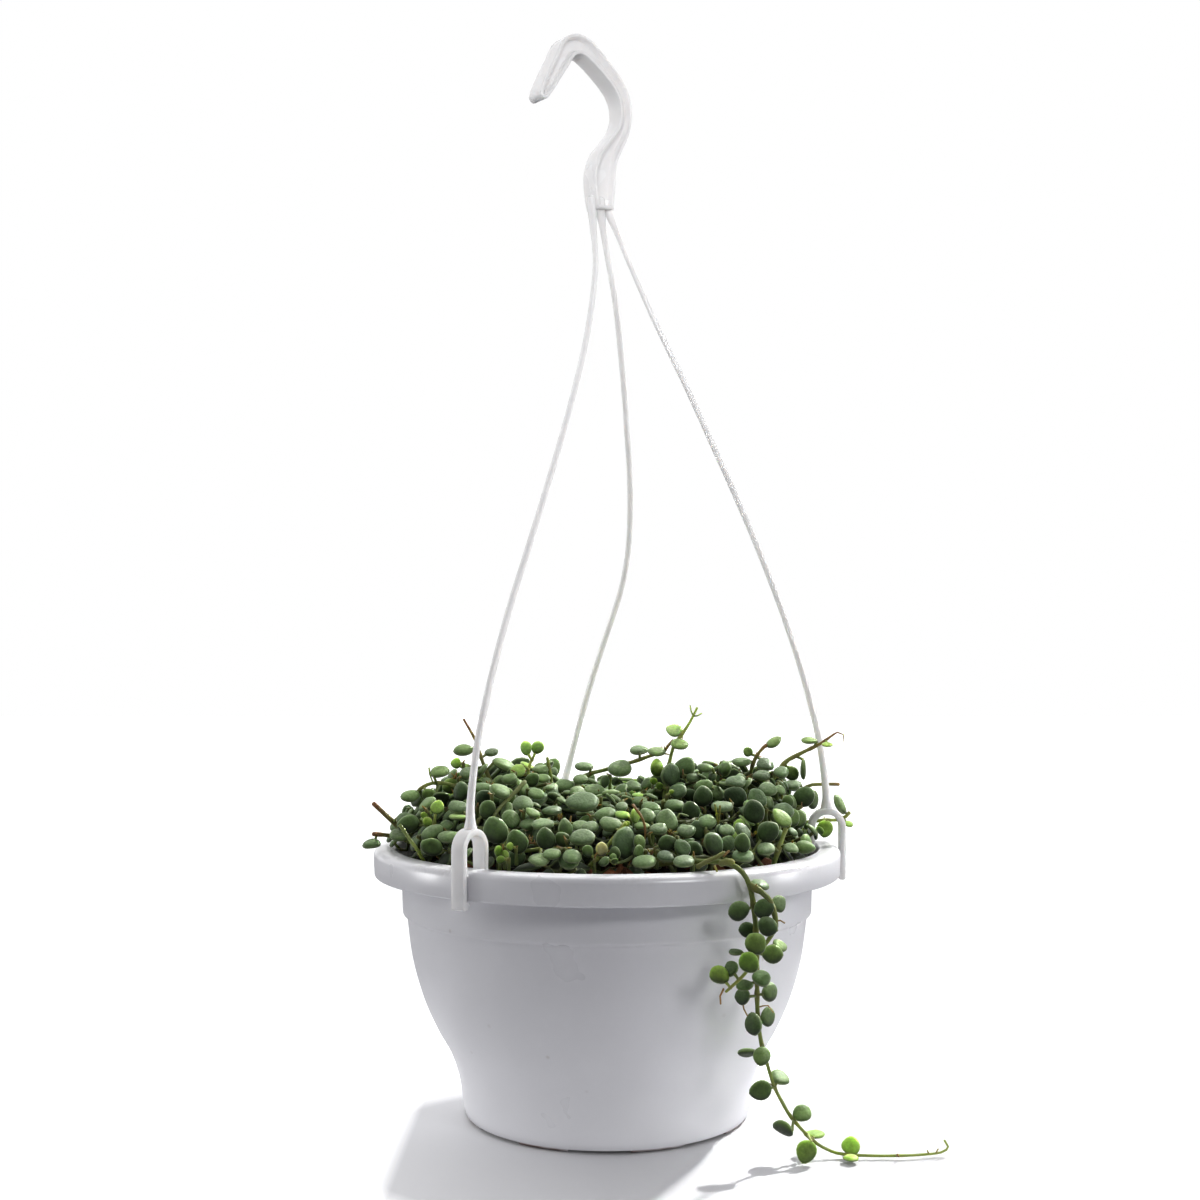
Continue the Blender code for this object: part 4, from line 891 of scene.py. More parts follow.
# Leaves of the mound's front that show one by one: x, y, z, length, facing, youth.
FRONT_LEAVES = [
    (-71.4, -45, 125.4, 9.5, (-0.4, -0.55, 0.75), 0.1), (-65.8, -40, 127.3, 7, TILT, 0.1),
    (-63.2, -50, 124.4, 10, FLAT, 0.1), (-75, -35, 131, 3.5, FRONT, 1), (-73.5, -38, 128.7, 4.2, FRONT, 0.9),
    (-74.6, -30, 135.2, 9, (-0.55, -0.3, 0.78), 0.15), (-65.4, 0, 150, 5.5, BACK_LEFT, 0.9),
    (-61.5, 0, 148.6, 4.5, TILT, 0.6), (-59.3, -10, 146.5, 8.5, TILT, 0.15),
    (-61, -25, 139.8, 8.6, (-0.4, -0.9, 0.1), 0.05), (-61, -38, 134.8, 9, TILT, 0.1),
    (-60.3, -42, 131.1, 8, LYING, 0.6),
    (-52, -28, 142, 7.5, TILT, 0.1), (-51, -33, 138, 7, FRONT, 0), (-48.7, -45, 134.3, 7.8, FRONT, 0.1),
    (-43.9, -38, 141.3, 9.6, (0.4, -0.4, 0.8), 0.15), (-41.5, -15, 144.8, 7, TILT, 0.2),
    (-32, -10, 143.5, 6.5, FRONT, 0.15), (-34, -47, 137.3, 9.8, TILT, 0.1),
    (-35.1, -25, 141, 8, (0.8, -0.5, 0.3), 0.3),
    (-29.5, -30, 139.4, 7.5, TILT, 0.1), (-31.7, -55, 129.7, 7, TILT, 0.1),
    (-36, -50, 133.6, 4.5, (-0.8, -0.5, 0.2), 0.2),
    (-29.8, -52, 133.8, 6, (0.4, -0.5, 0.7), 0.3), (-42, -76, 121.5, 5, (0.8, -0.5, 0), 0.9),
    (-39.5, -77, 120, 4.5, TURN_LEFT, 0.9), (-36, -70, 117.5, 8, FRONT, 0),
    (-37.5, -77, 123.5, 3.6, TURN_RIGHT, 0.9), (-41, -77, 118.6, 3.6, FRONT, 0.8),
    (-27.5, -5, 143.8, 6.4, TILT, 0.15),
    (-5.6, -5, 138.8, 9, TILT, 0.15), (-0.8, 0, 142, 5.8, TURN_RIGHT, 0.1),
    (-9.9, -40, 137, 13.5, TILT, 0.05),
    (-1, -50, 133.2, 9.4, TILT, 0.1), (-6.9, -62, 129.3, 7.5, TILT, 0.15),
    (-10.5, -60, 129.3, 7.5, TILT, 0.1),
    (-25.5, -60, 130, 9.3, FLAT, 0.1), (-17.4, -68, 125.3, 6.5, FRONT, 0.2),
    (-10, -72, 126.2, 10.2, TILT, 0.1),
    (-13.7, -82, 120.5, 8.2, TILT, 0.1), (-15, -79, 118, 9.5, TILT, 0.1), (-21.4, -78, 121.2, 7.3, TILT, 0.1),
    (-7.6, -80, 122, 4.8, FRONT, 0.3), (12.4, -72, 124.3, 6.6, TURN_RIGHT, 0.3),
    (11.8, -79, 121.5, 5.5, TURN_RIGHT, 0.3),
    (2.5, -76, 121, 6, TURN_LEFT, 0.2), (15.9, -50, 132.4, 8, (0, -0.7, 0.7), 0.1),
    (6, -52, 133, 7, FLAT, 0.8),
    (5.8, -44, 135.6, 6, TILT, 0.1), (10.9, -58, 133.2, 6, TURN_RIGHT, 0.95),
    (7.7, -60, 130.5, 2.5, FRONT, 1),
    (19.8, -62, 128.5, 7.8, TILT, 0.05), (13.5, -60, 129.5, 6.5, FLAT, 0.2),
    (23.8, -52, 130.6, 10.5, (0.1, -0.8, 0.6), 0.1),
    (19.5, -48, 131.3, 8, (-0.5, -0.6, 0.6), 0.05), (22.9, -72, 124.2, 7.3, FRONT, 0.15),
    (31, -58, 127.5, 8, TILT, 0.05),
    (28.7, -74, 122.6, 7.5, (0.2, -0.8, 0.5), 0.05), (29, -82.5, 118.6, 9, FLAT, 0.05),
    (22, -79, 120, 7, TILT, 0),
    (28, -30, 134.8, 8.8, TILT, 0.1), (34.3, -38, 133.2, 7.8, FRONT, 0.05), (11.5, 10, 138.8, 8.5, TILT, 0.1),
    (17.5, 5, 140.5, 7, (-0.5, -0.5, 0.7), 0.05), (13.8, -20, 135.1, 9, FLAT, 0.05),
    (17.8, -36, 134.3, 8.4, TILT, 0.1),
    (23, 0, 137, 6.5, FRONT, 0.2), (27, -20, 139.3, 2.4, FRONT, 1),
    (29.8, -20, 139.6, 8, (-0.3, -0.7, 0.6), 0),
    (20, -10, 143, 3.5, FRONT, 0.8), (22.5, -11, 141, 3.5, FRONT, 0.8), (36.7, -10, 144.8, 6.4, TILT, 0.1),
    (45.4, 5, 143.6, 9, TILT, 0.05), (40, -25, 137.7, 8.8, FRONT, 0.1), (35, -18, 137.8, 6, FRONT, 0),
    (46.2, -20, 138.6, 7.5, (0.5, -0.8, 0.3), 0.15), (53.7, -24, 143.9, 8.8, TILT, 0),
    (53.5, -27, 138, 10, FRONT, 0),
    (46.9, -38, 134.8, 9.5, FLAT, 0.05), (59.3, -45, 133.5, 9.8, FRONT, 0.05),
    (65.8, -12, 146, 7.6, TILT, 0.05),
    (67, -25, 141, 9, TILT, 0.1), (72.5, -22, 140.5, 6, (0.3, -0.5, 0.8), 0.2),
    (61.8, -34, 137.9, 9, (0.2, -0.8, 0.5), 0),
    (74.8, -30, 136, 5.6, FRONT, 0.2), (84, -10, 136.3, 9.6, FRONT, 0.05),
    (77, -20, 128.4, 9, BACK_RIGHT, 0.3),
    (80.4, -17, 127.5, 8.5, BACK_RIGHT, 0.3), (79.9, -45, 119.7, 8.2, TILT, 0.15),
    (47, -64, 122.8, 7, BACK_RIGHT, 0.05),
    (47.3, -56, 127.3, 7, TILT, 0.05), (39.8, -52, 130.2, 8.6, TILT, 0.05),
    (36, -58, 127, 8, (-0.3, -0.9, 0.2), 0),
    (33.5, -66, 121, 7.5, FRONT, 0), (72, -38, 133.5, 10, TILT, 0.05),
]
# Bare stems that show between the leaves: the route, thickness in mm, youth and how brown.
BARE_STEMS = [
    ([(-84, -44, 128), (-79.8, -47, 122.8), (-75.8, -50, 118), (-73, -47, 112)], 1.6, 1.0, 0.05),
    ([(-34, -30, 144.6), (-38.5, -36, 140), (-43.5, -42, 135), (-46, -46, 131),
      (-46, -46, 122)], 1.9, 0.05, 0.15),
    ([(10, -61, 138), (11.5, -62.5, 136), (14, -63, 132), (14.8, -62, 126), (13, -60, 120)], 1.1, 0.5, 0.9),
    ([(-75.5, -14, 149), (-75.2, -14, 146.5), (-74, -14, 143)], 0.8, 0.9, 0.1),
    ([(43.5, -45, 136.5), (44, -44.5, 133.5), (45, -43, 128)], 0.9, 0.9, 0.3),
    ([(45.6, -45, 136), (45.4, -44.5, 133), (45, -43, 128)], 0.9, 0.8, 0.4),
    ([(51, -84, 67), (51.5, -85, 63), (52.8, -85.5, 60.5)], 0.7, 0.2, 0.8),
    ([(57, -82.5, 63), (61, -82, 63.6), (63, -82, 61)], 0.6, 0.2, 0.95),
    ([(43, -96, 73), (41.6, -97, 70.5), (41.8, -97, 67.5)], 0.8, 0.1, 0.95),
    ([(113, -66, 1.4), (113.4, -68.5, 1.8), (112.6, -70, 3)], 1.0, 0.3, 0.8),
    ([(129, -63.2, 1.5), (129.6, -64.4, 3.4)], 0.7, 0.7, 0.6), ([(126, -64, 1.5),
      (125.2, -65.2, 3)], 0.7, 0.7, 0.6),
    ([(61.5, -93, 97.5), (64.4, -93.5, 98), (66, -93.5, 97)], 0.7, 0.3, 0.9),
    ([(34, -85, 116.8), (37, -87.5, 119), (41, -89.5, 121.2), (43.6, -90, 122.8)], 2.0, 0.2, 0.25),
    ([(42.5, -89, 118.6), (45, -90.5, 119.6), (47, -91, 119.4)], 2.8, 0.4, 0.25),
    ([(43.4, -90, 121.6), (45.4, -90.5, 123.6)], 1.1, 0.3, 0.8), ([(40, -91, 118),
      (40.8, -93, 116.2)], 1.0, 0.9, 0.5),
    ([(37.4, -1, 170.4), (36.4, -1, 172.6), (36, -1, 175)], 0.7, 1.0, 0.0),
    ([(37.8, -1, 170.4), (39.2, -1.5, 170.6), (40.9, -1.5, 171.6)], 0.7, 1.0, 0.0),
    ([(25, 2, 155), (26.5, 1, 157.5), (28.5, -2, 160)], 1.4, 0.2, 0.8),
    ([(75, -6, 143), (75.1, -6, 140), (75.2, -5, 135)], 1.3, 0.3, 0.3),
    ([(47, 6, 149), (50, 5, 147.5), (53, 4, 145), (55, 3, 140)], 1.2, 0.3, 0.5),
]
# Gaps that the fillers leave open from in front: x, y, z and radius in mm.
FRONT_GAPS = [
    (0.5, -48, 117, 8), (59, -48, 119.5, 6), (-36, -48, 117, 6), (44.5, -48, 117, 5), (-18, -48, 124, 4),
    (25, -48, 126, 4), (-57, -48, 116, 6), (51.6, -5, 129, 4.5), (63.4, -30, 123.5, 4), (25.7, -60, 117, 4.5),
    (-26.7, -60, 120.8, 4.5), (93, 5, 121, 7), (91, -2, 128, 5), (-17.8, 82, 142, 3.5), (-18.6, 88, 137, 3),
]
# Tufts of dry flower stalks between the leaves: x, y, z in mm.
TUFTS = [
    (-32.6, -52, 128.2), (-19.7, -42, 131.5), (-30.7, -60, 124.3), (-5, -40, 137), (-65, -5, 145.3),
    (24.8, -56, 127.1),
    (58.4, -50, 126), (16.7, -74, 121), (45.1, -40, 133.8), (25, 2, 155.5), (-13, -30, 138), (30, -10, 141),
    (62, -8, 144), (-50, -20, 143), (8, -20, 138),
]

# ---------------------------------------------------------------- room to grow


TAKEN_STEM, TAKEN_LEAF, TAKEN_TWIG = 1.5, 0.25, 0.1  # mm that a piece keeps for itself
SIGHT = np.array((0, -38, 4.6))  # from a leaf of the front to the space before it, which stays open
VIEWER = np.array((-3, -680, 199))
FRONT_FROM, FRONT_DEPTH = -10, 13  # mm: from where the front's own leaves show, and how deep others lie
PRISM_FACES = [(3, 2, 1, 0), (4, 5, 6, 7), (0, 1, 5, 4), (1, 2, 6, 5), (2, 3, 7, 6), (3, 0, 4, 7)]


def unit_ball():
    """The 12 points and the faces of a small ball, which stands for a leaf where room is looked for."""
    bm = bmesh.new()
    bmesh.ops.create_icosphere(bm, subdivisions=1, radius=1)
    points = np.array([v.co[:] for v in bm.verts])
    faces = [tuple(v.index for v in f.verts) for f in bm.faces]
    bm.free()
    return points, faces


BALL_POINTS, BALL_FACES = unit_ball()


class Room:
    """The space that is already taken, so that what grows later keeps clear of it."""

    def __init__(self, most=6000):
        self.low = np.empty((most, 3))
        self.high = np.empty((most, 3))
        self.trees = []

    def copy(self):
        other = Room(0)
        other.low, other.high, other.trees = self.low.copy(), self.high.copy(), list(self.trees)
        return other

    def add(self, points, faces=BALL_FACES):
        points = np.asarray(points)
        count = len(self.trees)
        self.low[count] = points.min(0)
        self.high[count] = points.max(0)
        self.trees.append(BVHTree.FromPolygons([tuple(p) for p in points], faces))

    def add_solid(self, name):
        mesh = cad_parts[name].data
        self.add([tuple(v.co / MM) for v in mesh.vertices], [tuple(f.vertices) for f in mesh.polygons])

    def is_clear(self, points, faces=BALL_FACES):
        count = len(self.trees)
        near = (self.low[:count] <= points.max(0)).all(1) & (self.high[:count] >= points.min(0)).all(1)
        tree = None
        for i in np.nonzero(near)[0]:
            tree = tree or BVHTree.FromPolygons([tuple(p) for p in points], faces)
            if tree.overlap(self.trees[i]):
                return False
        return True

    def is_clear_way(self, start, end, radius):
        return self.is_clear(prism_points(start, end, radius), PRISM_FACES)


def leaf_axes(foot, centre, facing):
    """Unit vectors along, across and through a leaf, which turns its face as it is told."""
    through = unit(facing)
    along = centre - foot
    along = along - through * (along @ through)
    if np.linalg.norm(along) < 0.5:
        along = np.cross(through, (0.9, 0.3, 0.2))
    along = unit(along)
    return along, np.cross(through, along), through


def leaf_points(foot, centre, length, facing, grow=0.0):
    """The 12 points in mm of the space that a leaf keeps for itself."""
    along, across, through = leaf_axes(foot, centre, facing)
    half = np.array([length * LEAF_WIDE, length * LEAF_THICK, length]) / 2 + grow
    ball = BALL_POINTS * half
    return centre + ball[:, :1] * across + ball[:, 1:2] * through + ball[:, 2:] * along


def nearest_on_stem(points, place):
    """The spot on a stem nearest to a place, a little away from the stem's joints."""
    spots = []
    for a, b in zip(points, points[1:]):
        t = np.clip((place - a) @ (b - a) / ((b - a) @ (b - a)), 0.05, 0.8)
        spots.append(a + t * (b - a))
    return min(spots, key=lambda spot: np.linalg.norm(place - spot))


def prism_points(a, b, radius):
    """A square tube from a to b, in mm: the space that a stretch of stem keeps for itself."""
    along = unit(b - a)
    side = unit(np.cross(along, ASKEW)) * radius
    other = np.cross(along, side)
    corners = [side, other, -side, -other]
    return np.array([a + c for c in corners] + [b + c for c in corners])


def take_room(stems, leaves, room):
    """Marks a vine's stems and leaves as taken. Each leaf's space is drawn out to its foot."""
    points, faces = [], []
    for stem in stems:
        for a, b in zip(stem, stem[1:]):
            faces += shifted(PRISM_FACES, len(points))
            points += list(prism_points(a, b, TAKEN_STEM))
    for foot, *place, _ in leaves:
        space = leaf_points(foot, *place, TAKEN_LEAF)
        space[np.argmin(np.linalg.norm(space - foot, axis=1))] = foot
        faces += shifted(BALL_FACES, len(points))
        points += list(space)
    room.add(points, faces)


def keep_open(views, centre, length):
    """Nothing grows in front of a leaf that shows."""
    start = centre + unit(SIGHT) * length * 0.3
    views.add(prism_points(start, centre + SIGHT, length * 0.40), PRISM_FACES)


def is_hidden(leaf, views):
    """Whether a vine's leaf lies low enough at the front, where other leaves show one by one."""
    x, y, z = leaf[1]
    return views.is_clear(leaf_points(*leaf[:4])) and (y > FRONT_FROM or z < mound_top(x, y) - FRONT_DEPTH)


# ---------------------------------------------------------------- how the vines grow


def rooted_stem(route, spacing):
    """A stem that comes straight up out of the mix before it takes its route."""
    x, y, z = route[0]
    return smooth_points([route[0], (x, y, z + 1.5), *route[1:]], spacing)


def placed_leaves(stems, leaves, ages):
    """Leaves of a table with their feet: (foot, centre, length, facing, youth)."""
    found = []
    for (x, y, z, length, facing), youth in zip(leaves, ages):
        centre = np.array((x, y, z), float)
        spots = [nearest_on_stem(stem, centre) for stem in stems]
        foot = min(spots, key=lambda spot: np.linalg.norm(spot - centre))
        foot = foot - unit(centre - foot) * LEAF_ROOT
        found.append((foot, centre, length, np.array(facing, float), youth))
    return found


def mound_top(x, y):
    height = MOUND_TOP - MOUND_DROP * (math.hypot(x, y) / MOUND_EDGE) ** 4
    for cx, cy, rise, across in MOUND_LUMPS:
        height += rise * math.exp(-((x - cx) ** 2 + (y - cy) ** 2) / (2 * across**2))
    return height


def mound_facing(x, y):
    slopes = mound_top(x - 2, y) - mound_top(x + 2, y), mound_top(x, y - 2) - mound_top(x, y + 2)
    return unit(np.array([*slopes, 4]))


def grow_stem(rng, number, room, vines=MAIN_VINES):
    """A vine's route in mm: up out of the mix, then over the mound at one of three depths."""
    depth = VINE_DEPTHS[number % 3]
    for attempt in range(ROOT_TRIES):
        ring = ROOT_REACH * math.sqrt((number % vines + 0.5) / vines) + rng.normal(0, 0.3 * attempt)
        angle = number * GOLDEN_TURN + rng.normal(0, 0.02 * attempt)
        root = np.array((ring * math.cos(angle), ring * math.sin(angle), MIX_TOP + 0.3))
        if ring < ROOT_REACH and room.is_clear_way(root + (0, 0, 0.7), root + (0, 0, 14), 1.6):
            break
    heading = angle + rng.uniform(-1.6, 1.6) + (math.pi if ring > 55 else 0)
    route = [root]
    for _ in range(rng.integers(10, 15)):
        last = route[-1]
        for _ in range(STEP_TRIES):
            turn = heading + rng.normal(0, 0.35)
            goal = MIX_TOP + (mound_top(last[0], last[1]) - 4 - MIX_TOP) * depth
            rise = np.clip(goal - last[2], -3, VINE_STEP) if len(route) > 1 else VINE_STEP
            flat = math.sqrt(max(VINE_STEP**2 - rise**2, 0.01))
            step = np.array((flat * math.cos(turn), flat * math.sin(turn), rise))
            there = last + step
            start = last if len(route) > 1 else last + (0, 0, 0.6)
            inside = math.hypot(there[0], there[1]) < VINE_REACH
            if inside and room.is_clear_way(start, there + step * 0.1, TAKEN_STEM):
                route.append(there)
                heading = turn
                break
            heading += rng.uniform(-0.9, 0.9)
        else:
            break
    return route


def grow_leaves(rng, route, room):
    """Leaf pairs along a vine's route, each leaf turned until it is clear of all others."""
    own = Room(60)
    leaves = []
    for i in range(2, len(route), 2):
        along = unit(route[i] - route[i - 1])
        node = route[i] - along
        face = mound_facing(node[0], node[1])
        side = unit(np.cross(along, face))
        for hand in (-1, 1):
            for attempt in range(LEAF_TRIES):
                length = rng.uniform(*VINE_LEAF_SIZES) * (1 - TRY_SHRINK * attempt)
                out = hand * side + along * rng.uniform(-0.2, 0.6) + face * rng.uniform(-0.2, 0.7)
                out = unit(out)
                facing = face + rng.normal(0, 0.45, 3)
                centre = node + out * (length / 2 + 1.6)
                foot = node - out * LEAF_ROOT
                space = leaf_points(foot, centre, length, facing, 0.45)
                if space[:, 2].min() >= MIX_TOP + 0.5 and room.is_clear(space) and own.is_clear(space):
                    leaves.append((foot, centre, length, facing, OLD_LEAF))
                    own.add(space)
                    break
    return leaves


def grow_vine(number, room, vines=MAIN_VINES):
    """A vine's route and its leaves, or None where there is no room for one."""
    rng = np.random.default_rng(number)
    route = grow_stem(rng, number, room, vines)
    return (route, grow_leaves(rng, route, room)) if len(route) >= SHORTEST_VINE else None


# ---------------------------------------------------------------- leaves and stems as they look


LEAF_RINGS = [  # (share of the radius, height as a share of half the thickness), upper face then lower
    (0.42, 0.97), (0.73, 0.84), (0.91, 0.54), (1.0, 0.04), (0.94, -0.42), (0.76, -0.74), (0.40, -0.92),
]
LEAF, STEM, YOUNG_LEAF, PALE_LEAF = range(4)
YOUNG_FROM, PALE_FROM = 0.7, 1.9
FINE_SIDES, STEM_SIDES, STALK_SIDES = 9, 6, 5
PEG_CHANCE = 0.3
LAYERS = [  # of twigs under the leaves that show: how many, how deep in mm, and leaf lengths
    (260, 1.5, (7.0, 10.0)), (300, 6, (7.0, 10.0)), (300, 0.5, (5.0, 8.5)), (260, 12, (6.5, 10.0)),
]
FRONT_SINK, FRONT_THIN = 10, 0.8  # mm that twigs lie lower at the front, and the share left out
TWIG_REACH, TWIG_LOWEST, LONGEST_TWIG = 91, 114.5, 24
RIM_FROM, RIM_TO, RIM_CLEAR = 85, 96, 115.6  # mm, where leaves lie over the rim, and how high
SEEN_NUDGES = (0, -1.5, 1.5, -3, 3, 5)  # mm that a leaf of the front moves to where there is room
TRAILING_SEED, SHOOT_SEED, VINE_SEED, FRONT_SEED, FILL_SEED, TWIG_SEED = 500, 600, 700, 850, 900, 77
QUARTERS = ("front", "right", "back", "left")


def model_leaf(steps, rings):
    """One leaf of length 1 in the XY plane, its tip at +Y: a thick disc with a slight point."""
    points, faces = take_apart(turn_on_wheel("leaf", rings, steps, 0.5, "TRIFAN"))
    reach = np.hypot(points[:, 0], points[:, 1]) * 2
    bearing = np.arctan2(points[:, 0], points[:, 1])
    under = np.clip(-points[:, 2] * 3, 0, 1)
    points[:, :2] *= 1 + 0.05 * reach[:, None] * np.exp(-((bearing / 0.28) ** 2))[:, None]
    points[:, 0] *= 1 - 0.10 * np.clip(-points[:, 1] * 2, 0, 1) ** 2
    return points, faces, reach**4, under


FINE_LEAF = model_leaf(18, LEAF_RINGS)
PLAIN_LEAF = model_leaf(11, [LEAF_RINGS[i] for i in (0, 2, 3, 4, 6)])


class Growth:
    """What one vine, or a group of vines, is put together from.

    Painted on its points: growth is (youth, tone with painted shade, bloom with painted sheen), spot is
    (margin or brown, underside, paleness with painted light).
    """

    def __init__(self, name, seed, fine=False):
        self.name, self.fine = name, fine
        self.rng = np.random.default_rng(seed)
        self.sides = FINE_SIDES if fine else STEM_SIDES
        self.points, self.faces, self.kinds, self.growth, self.spot = [], [], [], [], []

    def add(self, points, faces, kind, growth, spot):
        """Adds points and faces, with what is painted on them: for each point, or one for all."""
        self.faces += shifted(faces, len(self.points))
        self.points += [tuple(p) for p in points]
        self.kinds += [kind] * len(faces)
        self.growth += growth if isinstance(growth, list) else [growth] * len(points)
        self.spot += spot if isinstance(spot, list) else [spot] * len(points)

    def add_leaf(self, foot, centre, length, facing, youth):
        """A leaf and its stalk. The leaf is a little cupped, and no two are alike."""
        rng = self.rng
        along, across, through = leaf_axes(foot, centre, facing)
        points, faces, margin, under = FINE_LEAF if self.fine else PLAIN_LEAF
        wide = LEAF_WIDE * (rng.uniform(0.93, 1.05) if self.fine else rng.uniform(0.84, 1.04))
        thick = LEAF_THICK * rng.uniform(0.75, 1.05) * (1 - 0.3 * min(youth, 1))
        cup, fold, twist = rng.uniform(-0.12, 0.20), rng.uniform(-0.05, 0.12), rng.normal(0, 0.14)
        x, y = points[:, 0], points[:, 1]
        shape = points * (wide, 1, thick)
        shape[:, 2] -= cup * (x**2 + y**2 * 0.7) + fold * np.abs(x) + twist * x * y
        waves = 1 + 0.03 * np.sin(3 * np.arctan2(x, y) + rng.uniform(0, math.tau))
        tip = np.clip(2 * y, 0, 1) ** 2
        shape[:, 0] = shape[:, 0] * waves * (1 - rng.uniform(0, 0.09) * tip) + rng.normal(0, 0.05) * y
        shape[:, 1] = shape[:, 1] * waves * (1 + rng.uniform(0, 0.06) * tip) + rng.normal(0, 0.05) * x
        body = centre + length * (shape[:, :1] * across + shape[:, 1:2] * along + shape[:, 2:] * through)
        # Painted shade: in the coarser pieces, a leaf more than 3 mm under the mound's top gets a lower tone
        # and less bloom, down to no tone and three tenths of the bloom at 12 mm.
        deep = 0 if self.fine else min(max((mound_top(centre[0], centre[1]) - centre[2] - 3) / 9, 0), 1)
        tone_and_shade, bloom_and_sheen = rng.uniform(0.2, 1) * (1 - deep), rng.uniform(0.35, 1.0) * (1 - 0.7 * deep)
        kind = PALE_LEAF if youth > PALE_FROM else YOUNG_LEAF if youth > YOUNG_FROM else LEAF
        # Past a youth of 1, a young leaf is washed paler: partly its own colour and partly painted light, as
        # if lit through.
        pale_and_backlit = max(min(youth, 2) - 1, 0) * (kind == YOUNG_LEAF)
        spot = [(m, u, pale_and_backlit, 1) for m, u in zip(margin, under)]
        self.add(body, faces, kind, (min(youth, 1), tone_and_shade, bloom_and_sheen, 1), spot)
        base = centre - along * length * 0.46
        bend = (foot + base) / 2 + through * rng.normal(0, 0.25)
        stalk = tube([foot, bend, base], [0.7, 0.55, 0.65], STALK_SIDES)
        self.add(*stalk, STEM, (youth * 0.6, 0.5, 0, 1), (0.1, 0, 0, 1))

    def add_stem(self, route, nodes, youth, thick, thin, brown=0.03, dry_end=0.0, late=1, tone_and_shade=0.5):
        """A stem along a route. It swells and browns at its nodes, may thin late and end dry, and a low tone
        gives it painted shade.
        """
        points = smooth_points(route, 2.4)
        nodes = np.array(nodes).reshape(-1, 3)
        radii, spot, growth = [], [], []
        for i, p in enumerate(points):
            share = i / (len(points) - 1)
            near = math.exp(-((np.linalg.norm(nodes - p, axis=1).min() / 1.5) ** 2)) if len(nodes) else 0
            radius = thick + (thin - thick) * share**late
            radii.append(radius * (1 + 0.35 * near) * (1 + self.rng.normal(0, 0.03)))
            spot.append((min(1.0, near * 0.25 + brown + dry_end * share**5), 0, 0, 1))
            growth.append((youth * (0.2 + 0.8 * share**2), tone_and_shade, 0, 1))
        painted = [
            [v for v in [row[0], *row, row[-1]] for _ in range(self.sides)] + [row[0], row[-1]]
            for row in (growth, spot)]
        self.add(*tube(points, radii, self.sides), STEM, *painted)

    def add_peg(self, start, out, length, thick=0.38, curl=0.5, brown=0.95):
        """A dry flower stalk, root or tendril: a thin brown peg that curls a little."""
        out = unit(out)
        side = unit(np.cross(out, self.rng.normal(0, 1, 3)))
        route = [start, start + out * length * 0.5 + side * curl * 0.3, start + out * length + side * curl]
        points = smooth_points(route, max(length / 5, 0.5))
        radii = [thick * (1 - 0.5 * i / (len(points) - 1)) for i in range(len(points))]
        self.add(*tube(points, radii, STALK_SIDES), STEM, (0, 0.5, 0, 1), (brown, 0, 0, 1))

    def add_young_tip(self, end, along, size=3.4):
        """Two small leaves that open at a stem's end."""
        side = unit(np.cross(along, self.rng.normal(0, 1, 3)))
        for hand in (-1, 1):
            out = unit(along * 0.9 + side * hand * 0.6)
            self.add_leaf(end, end + out * (size / 2 + 0.5), size, side * hand - along * 0.3, 0.6)

    def dress(self, stems, leaves, youth=OLD_LEAF, ends=(0.95, 0.6, 0.0, 1), tone_and_shade=0.5):
        """Adds a vine's stems, leaves and the small dry pegs at its nodes."""
        nodes = [leaf[0] for leaf in leaves]
        thick, thin, dry, late = ends
        for stem in stems:
            self.add_stem(stem, nodes, youth, thick, thin, dry_end=dry, late=late, tone_and_shade=tone_and_shade)
        for leaf in leaves:
            self.add_leaf(*leaf)
            if self.rng.uniform() < PEG_CHANCE:
                self.add_peg(leaf[0], self.rng.normal(0, 1, 3) + (0, 0, 0.3), self.rng.uniform(1.4, 2.8))

    def finish(self, slot, *nodes):
        piece = new_piece(self.name, self.points, self.faces)
        mesh = piece.data
        for finish in GROWN_FINISHES:
            mesh.materials.append(finish)
        mesh.polygons.foreach_set("material_index", self.kinds)
        mesh.polygons.foreach_set("use_smooth", [True] * len(self.faces))
        for label, values in (("growth", self.growth), ("spot", self.spot)):
            attribute = mesh.attributes.new(label, "FLOAT_COLOR", "POINT")
            attribute.data.foreach_set("color", np.array(values, np.float32).ravel())
        give(piece, None, slot, *nodes)


def tipped(leaf):
    """A leaf that the solids lay level tips forward a little, as they do at a shoot's end."""
    foot, centre, length, facing, youth = leaf
    return foot, centre, length, facing - (0, 0.3 * (facing[2] > 0.99), 0), youth


def hangs_from(samples, place):
    """The stem's point that a leaf at a place most likely grows from: near, and below or behind it."""
    apart = samples - place
    above, before = np.maximum(apart[:, 2] + 1, 0), np.maximum(-apart[:, 1], 0)
    return samples[np.argmin(np.linalg.norm(apart, axis=1) + 0.9 * above + 0.6 * before)]


